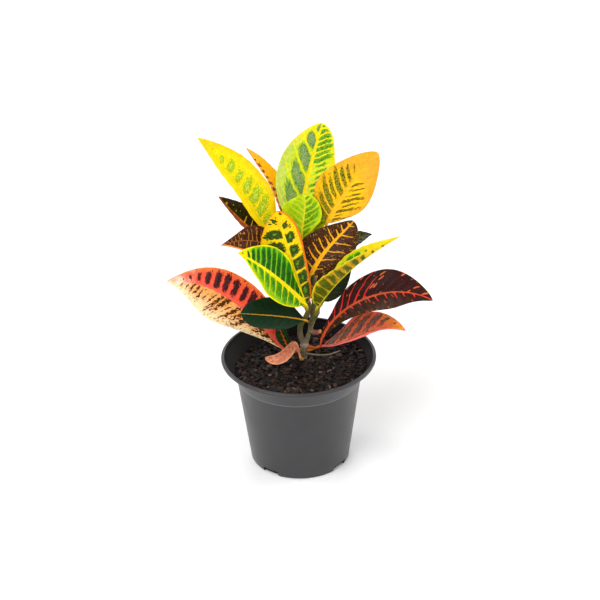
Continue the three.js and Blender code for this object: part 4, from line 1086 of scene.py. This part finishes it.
def moulded_plastic():
    """Polypropylene with carbon black: a satin, dusty skin outside, and darker inside, where the wall is
    damp and shade is painted in.
    """
    material, tree, surface = new_material(
        "moulded polypropylene", Roughness=0.4, IOR=1.49, Specular_IOR_Level=0.36)
    spot = add(tree, "ShaderNodeTexCoord").outputs["Object"]
    # dust patches of about 20 mm and scuffs of 1.2 mm, drawn coarser than life so that they show
    dust = add(tree, "ShaderNodeTexNoise", spot, named={"Scale": 1 / (20 * MM), "Detail": 5.0})
    scuffs = add(tree, "ShaderNodeTexNoise", spot, named={"Scale": 1 / (1.2 * MM), "Detail": 3.0})
    colour = add(tree, "ShaderNodeMixRGB", dust, paint("#343335"), paint("#403f41"))
    # the normal of the inner wall points at the pot's axis
    facing = add(tree, "ShaderNodeTexCoord").outputs["Normal"]
    outward = add(tree, "ShaderNodeVectorMath", spot, (1, 1, 0), operation="MULTIPLY")
    outward = add(tree, "ShaderNodeVectorMath", outward, operation="NORMALIZE")
    turned = add(tree, "ShaderNodeVectorMath", facing, outward, operation="DOT_PRODUCT").outputs["Value"]
    inner = add(tree, "ShaderNodeMapRange", turned, -0.55, -0.15, 1.0, 0.0)
    # the inside is painted near-black: painted shade in the pot's hollow, and damp
    colour = add(tree, "ShaderNodeMixRGB", inner, colour, paint("#0a090a"))
    # a pale line is painted along the step's sharp edge: a painted highlight of that edge
    height = add(tree, "ShaderNodeSeparateXYZ", spot)
    off_step = add(tree, "ADD", height.outputs[2], -POT["step"] * MM)
    off_step = add(tree, "ABSOLUTE", off_step)
    painted_step_highlight = add(tree, "ShaderNodeMapRange", off_step, 0.3 * MM, 0.9 * MM, 0.6, 0.0)
    unseen = add(tree, "SUBTRACT", 1.0, inner)
    painted_step_highlight = add(tree, "MULTIPLY", painted_step_highlight, unseen)
    colour = add(tree, "ShaderNodeMixRGB", painted_step_highlight, colour, paint("#908e92"))
    gloss = add(tree, "ShaderNodeMapRange", dust, 0.3, 0.7, 0.34, 0.46)
    gloss = add(tree, "ShaderNodeMix", inner, None, gloss, 0.9)
    tree.links.new(gloss.outputs[0], surface.inputs["Roughness"])
    coat(tree, surface, colour, scuffs, 0.12, 0.1)
    return material


# ---------- stage, light and camera ----------

VIEW = {
    "target": (2.7, 0, 198.5), "elevation": 29.75, "distance": 3000, "roll": -1.04, "lens": 164.3,
    "sensor": 36,
}
# Each broad, even light: where it stands seen from the plant, its strength and its width in degrees.
LIGHTS = {
    "key light": ((-0.5, -0.6, 1.0), 1.9, 45),
    "side light": ((1.0, -0.3, 0.8), 0.6, 60),
    "back light": ((0.0, 1.0, 0.9), 0.7, 30),
    "left edge light": ((-1.0, 0.35, 0.3), 1.0, 25),
    "right edge light": ((1.0, 0.3, 0.3), 1.1, 25),
}
ROOM_STRENGTH = 0.46
FLOOR_REACH = 6  # metres


def set_camera():
    """Looks at the plant's front from above, with a long lens."""
    elevation = math.radians(VIEW["elevation"])
    target = Vector(VIEW["target"])
    eye = target + VIEW["distance"] * Vector((0, -math.cos(elevation), math.sin(elevation)))
    camera = placed("camera", bpy.data.cameras.new("camera"))
    aim = (target - eye).to_track_quat("-Z", "Y").to_matrix()
    aim = aim @ Matrix.Rotation(math.radians(VIEW["roll"]), 3, "Z")
    camera.matrix_world = Matrix.Translation(eye * MM) @ aim.to_4x4()
    camera.data.lens = VIEW["lens"]
    camera.data.sensor_width = VIEW["sensor"]
    bpy.context.scene.camera = camera


def set_stage():
    """A plain white floor, a white room and broad lights, as in a light tent."""
    bm = bmesh.new()
    bmesh.ops.create_grid(bm, x_segments=8, y_segments=8, size=FLOOR_REACH)
    floor = mesh_object("floor", bm, scale=1)
    material, tree, surface = new_material("white paper", Roughness=0.9)
    spot = add(tree, "ShaderNodeTexCoord").outputs["Object"]
    tooth = add(tree, "ShaderNodeTexNoise", spot, named={"Scale": 1 / (3 * MM), "Detail": 2.0})
    colour = add(tree, "ShaderNodeMixRGB", tooth, paint("#f8f8f8"), paint("#ffffff"))
    tree.links.new(colour.outputs[0], surface.inputs["Base Color"])
    floor.data.materials.append(material)
    world = bpy.data.worlds.new("light tent")
    bpy.context.scene.world = world
    world.use_nodes = True
    room = world.node_tree.nodes["Background"].inputs
    room["Color"].default_value = paint("#ffffff")
    room["Strength"].default_value = ROOM_STRENGTH
    for name, (place, strength, width) in LIGHTS.items():
        light = bpy.data.lights.new(name, "SUN")
        light.energy = strength
        light.angle = math.radians(width)
        placed(name, light).rotation_euler = Vector(place).to_track_quat("Z", "Y").to_euler()
    bpy.context.scene.view_settings.view_transform = "Standard"


# ---------- the assembly ----------

LEAF_SLOTS = {
    "leaf_yellow": ("crown_tall", "upper_left_long", "right_folded", "back_high"),
    "leaf_gold": ("upper_right_gold", "front_gold_spotted", "back_left_orange", "back_left_mid"),
    "leaf_green": ("crown_young", "front_green_striped", "back_right_mid"),
    "leaf_dark": ("right_maroon", "right_dark_behind", "right_dark_tip", "left_dark_green", "left_maroon",
                  "low_left_green", "right_big_dark", "low_small_dark", "back_low", "back_low_left"),
    "leaf_coral": ("low_left_coral", "low_right_pink", "low_withered", "back_low_right"),
}

set_camera()
set_stage()
pot_piece()
soil_piece()
crumb_pieces()
stem_piece()
pattern = blade_pattern()
for slot, names in LEAF_SLOTS.items():
    for name in names:
        skin = leaf_mesh(LEAVES[name], LOOKS[name])
        new_piece(f"blade_{name}", skin, blade_material(name, LOOKS[name], pattern), slot, f"leaf_{name}")
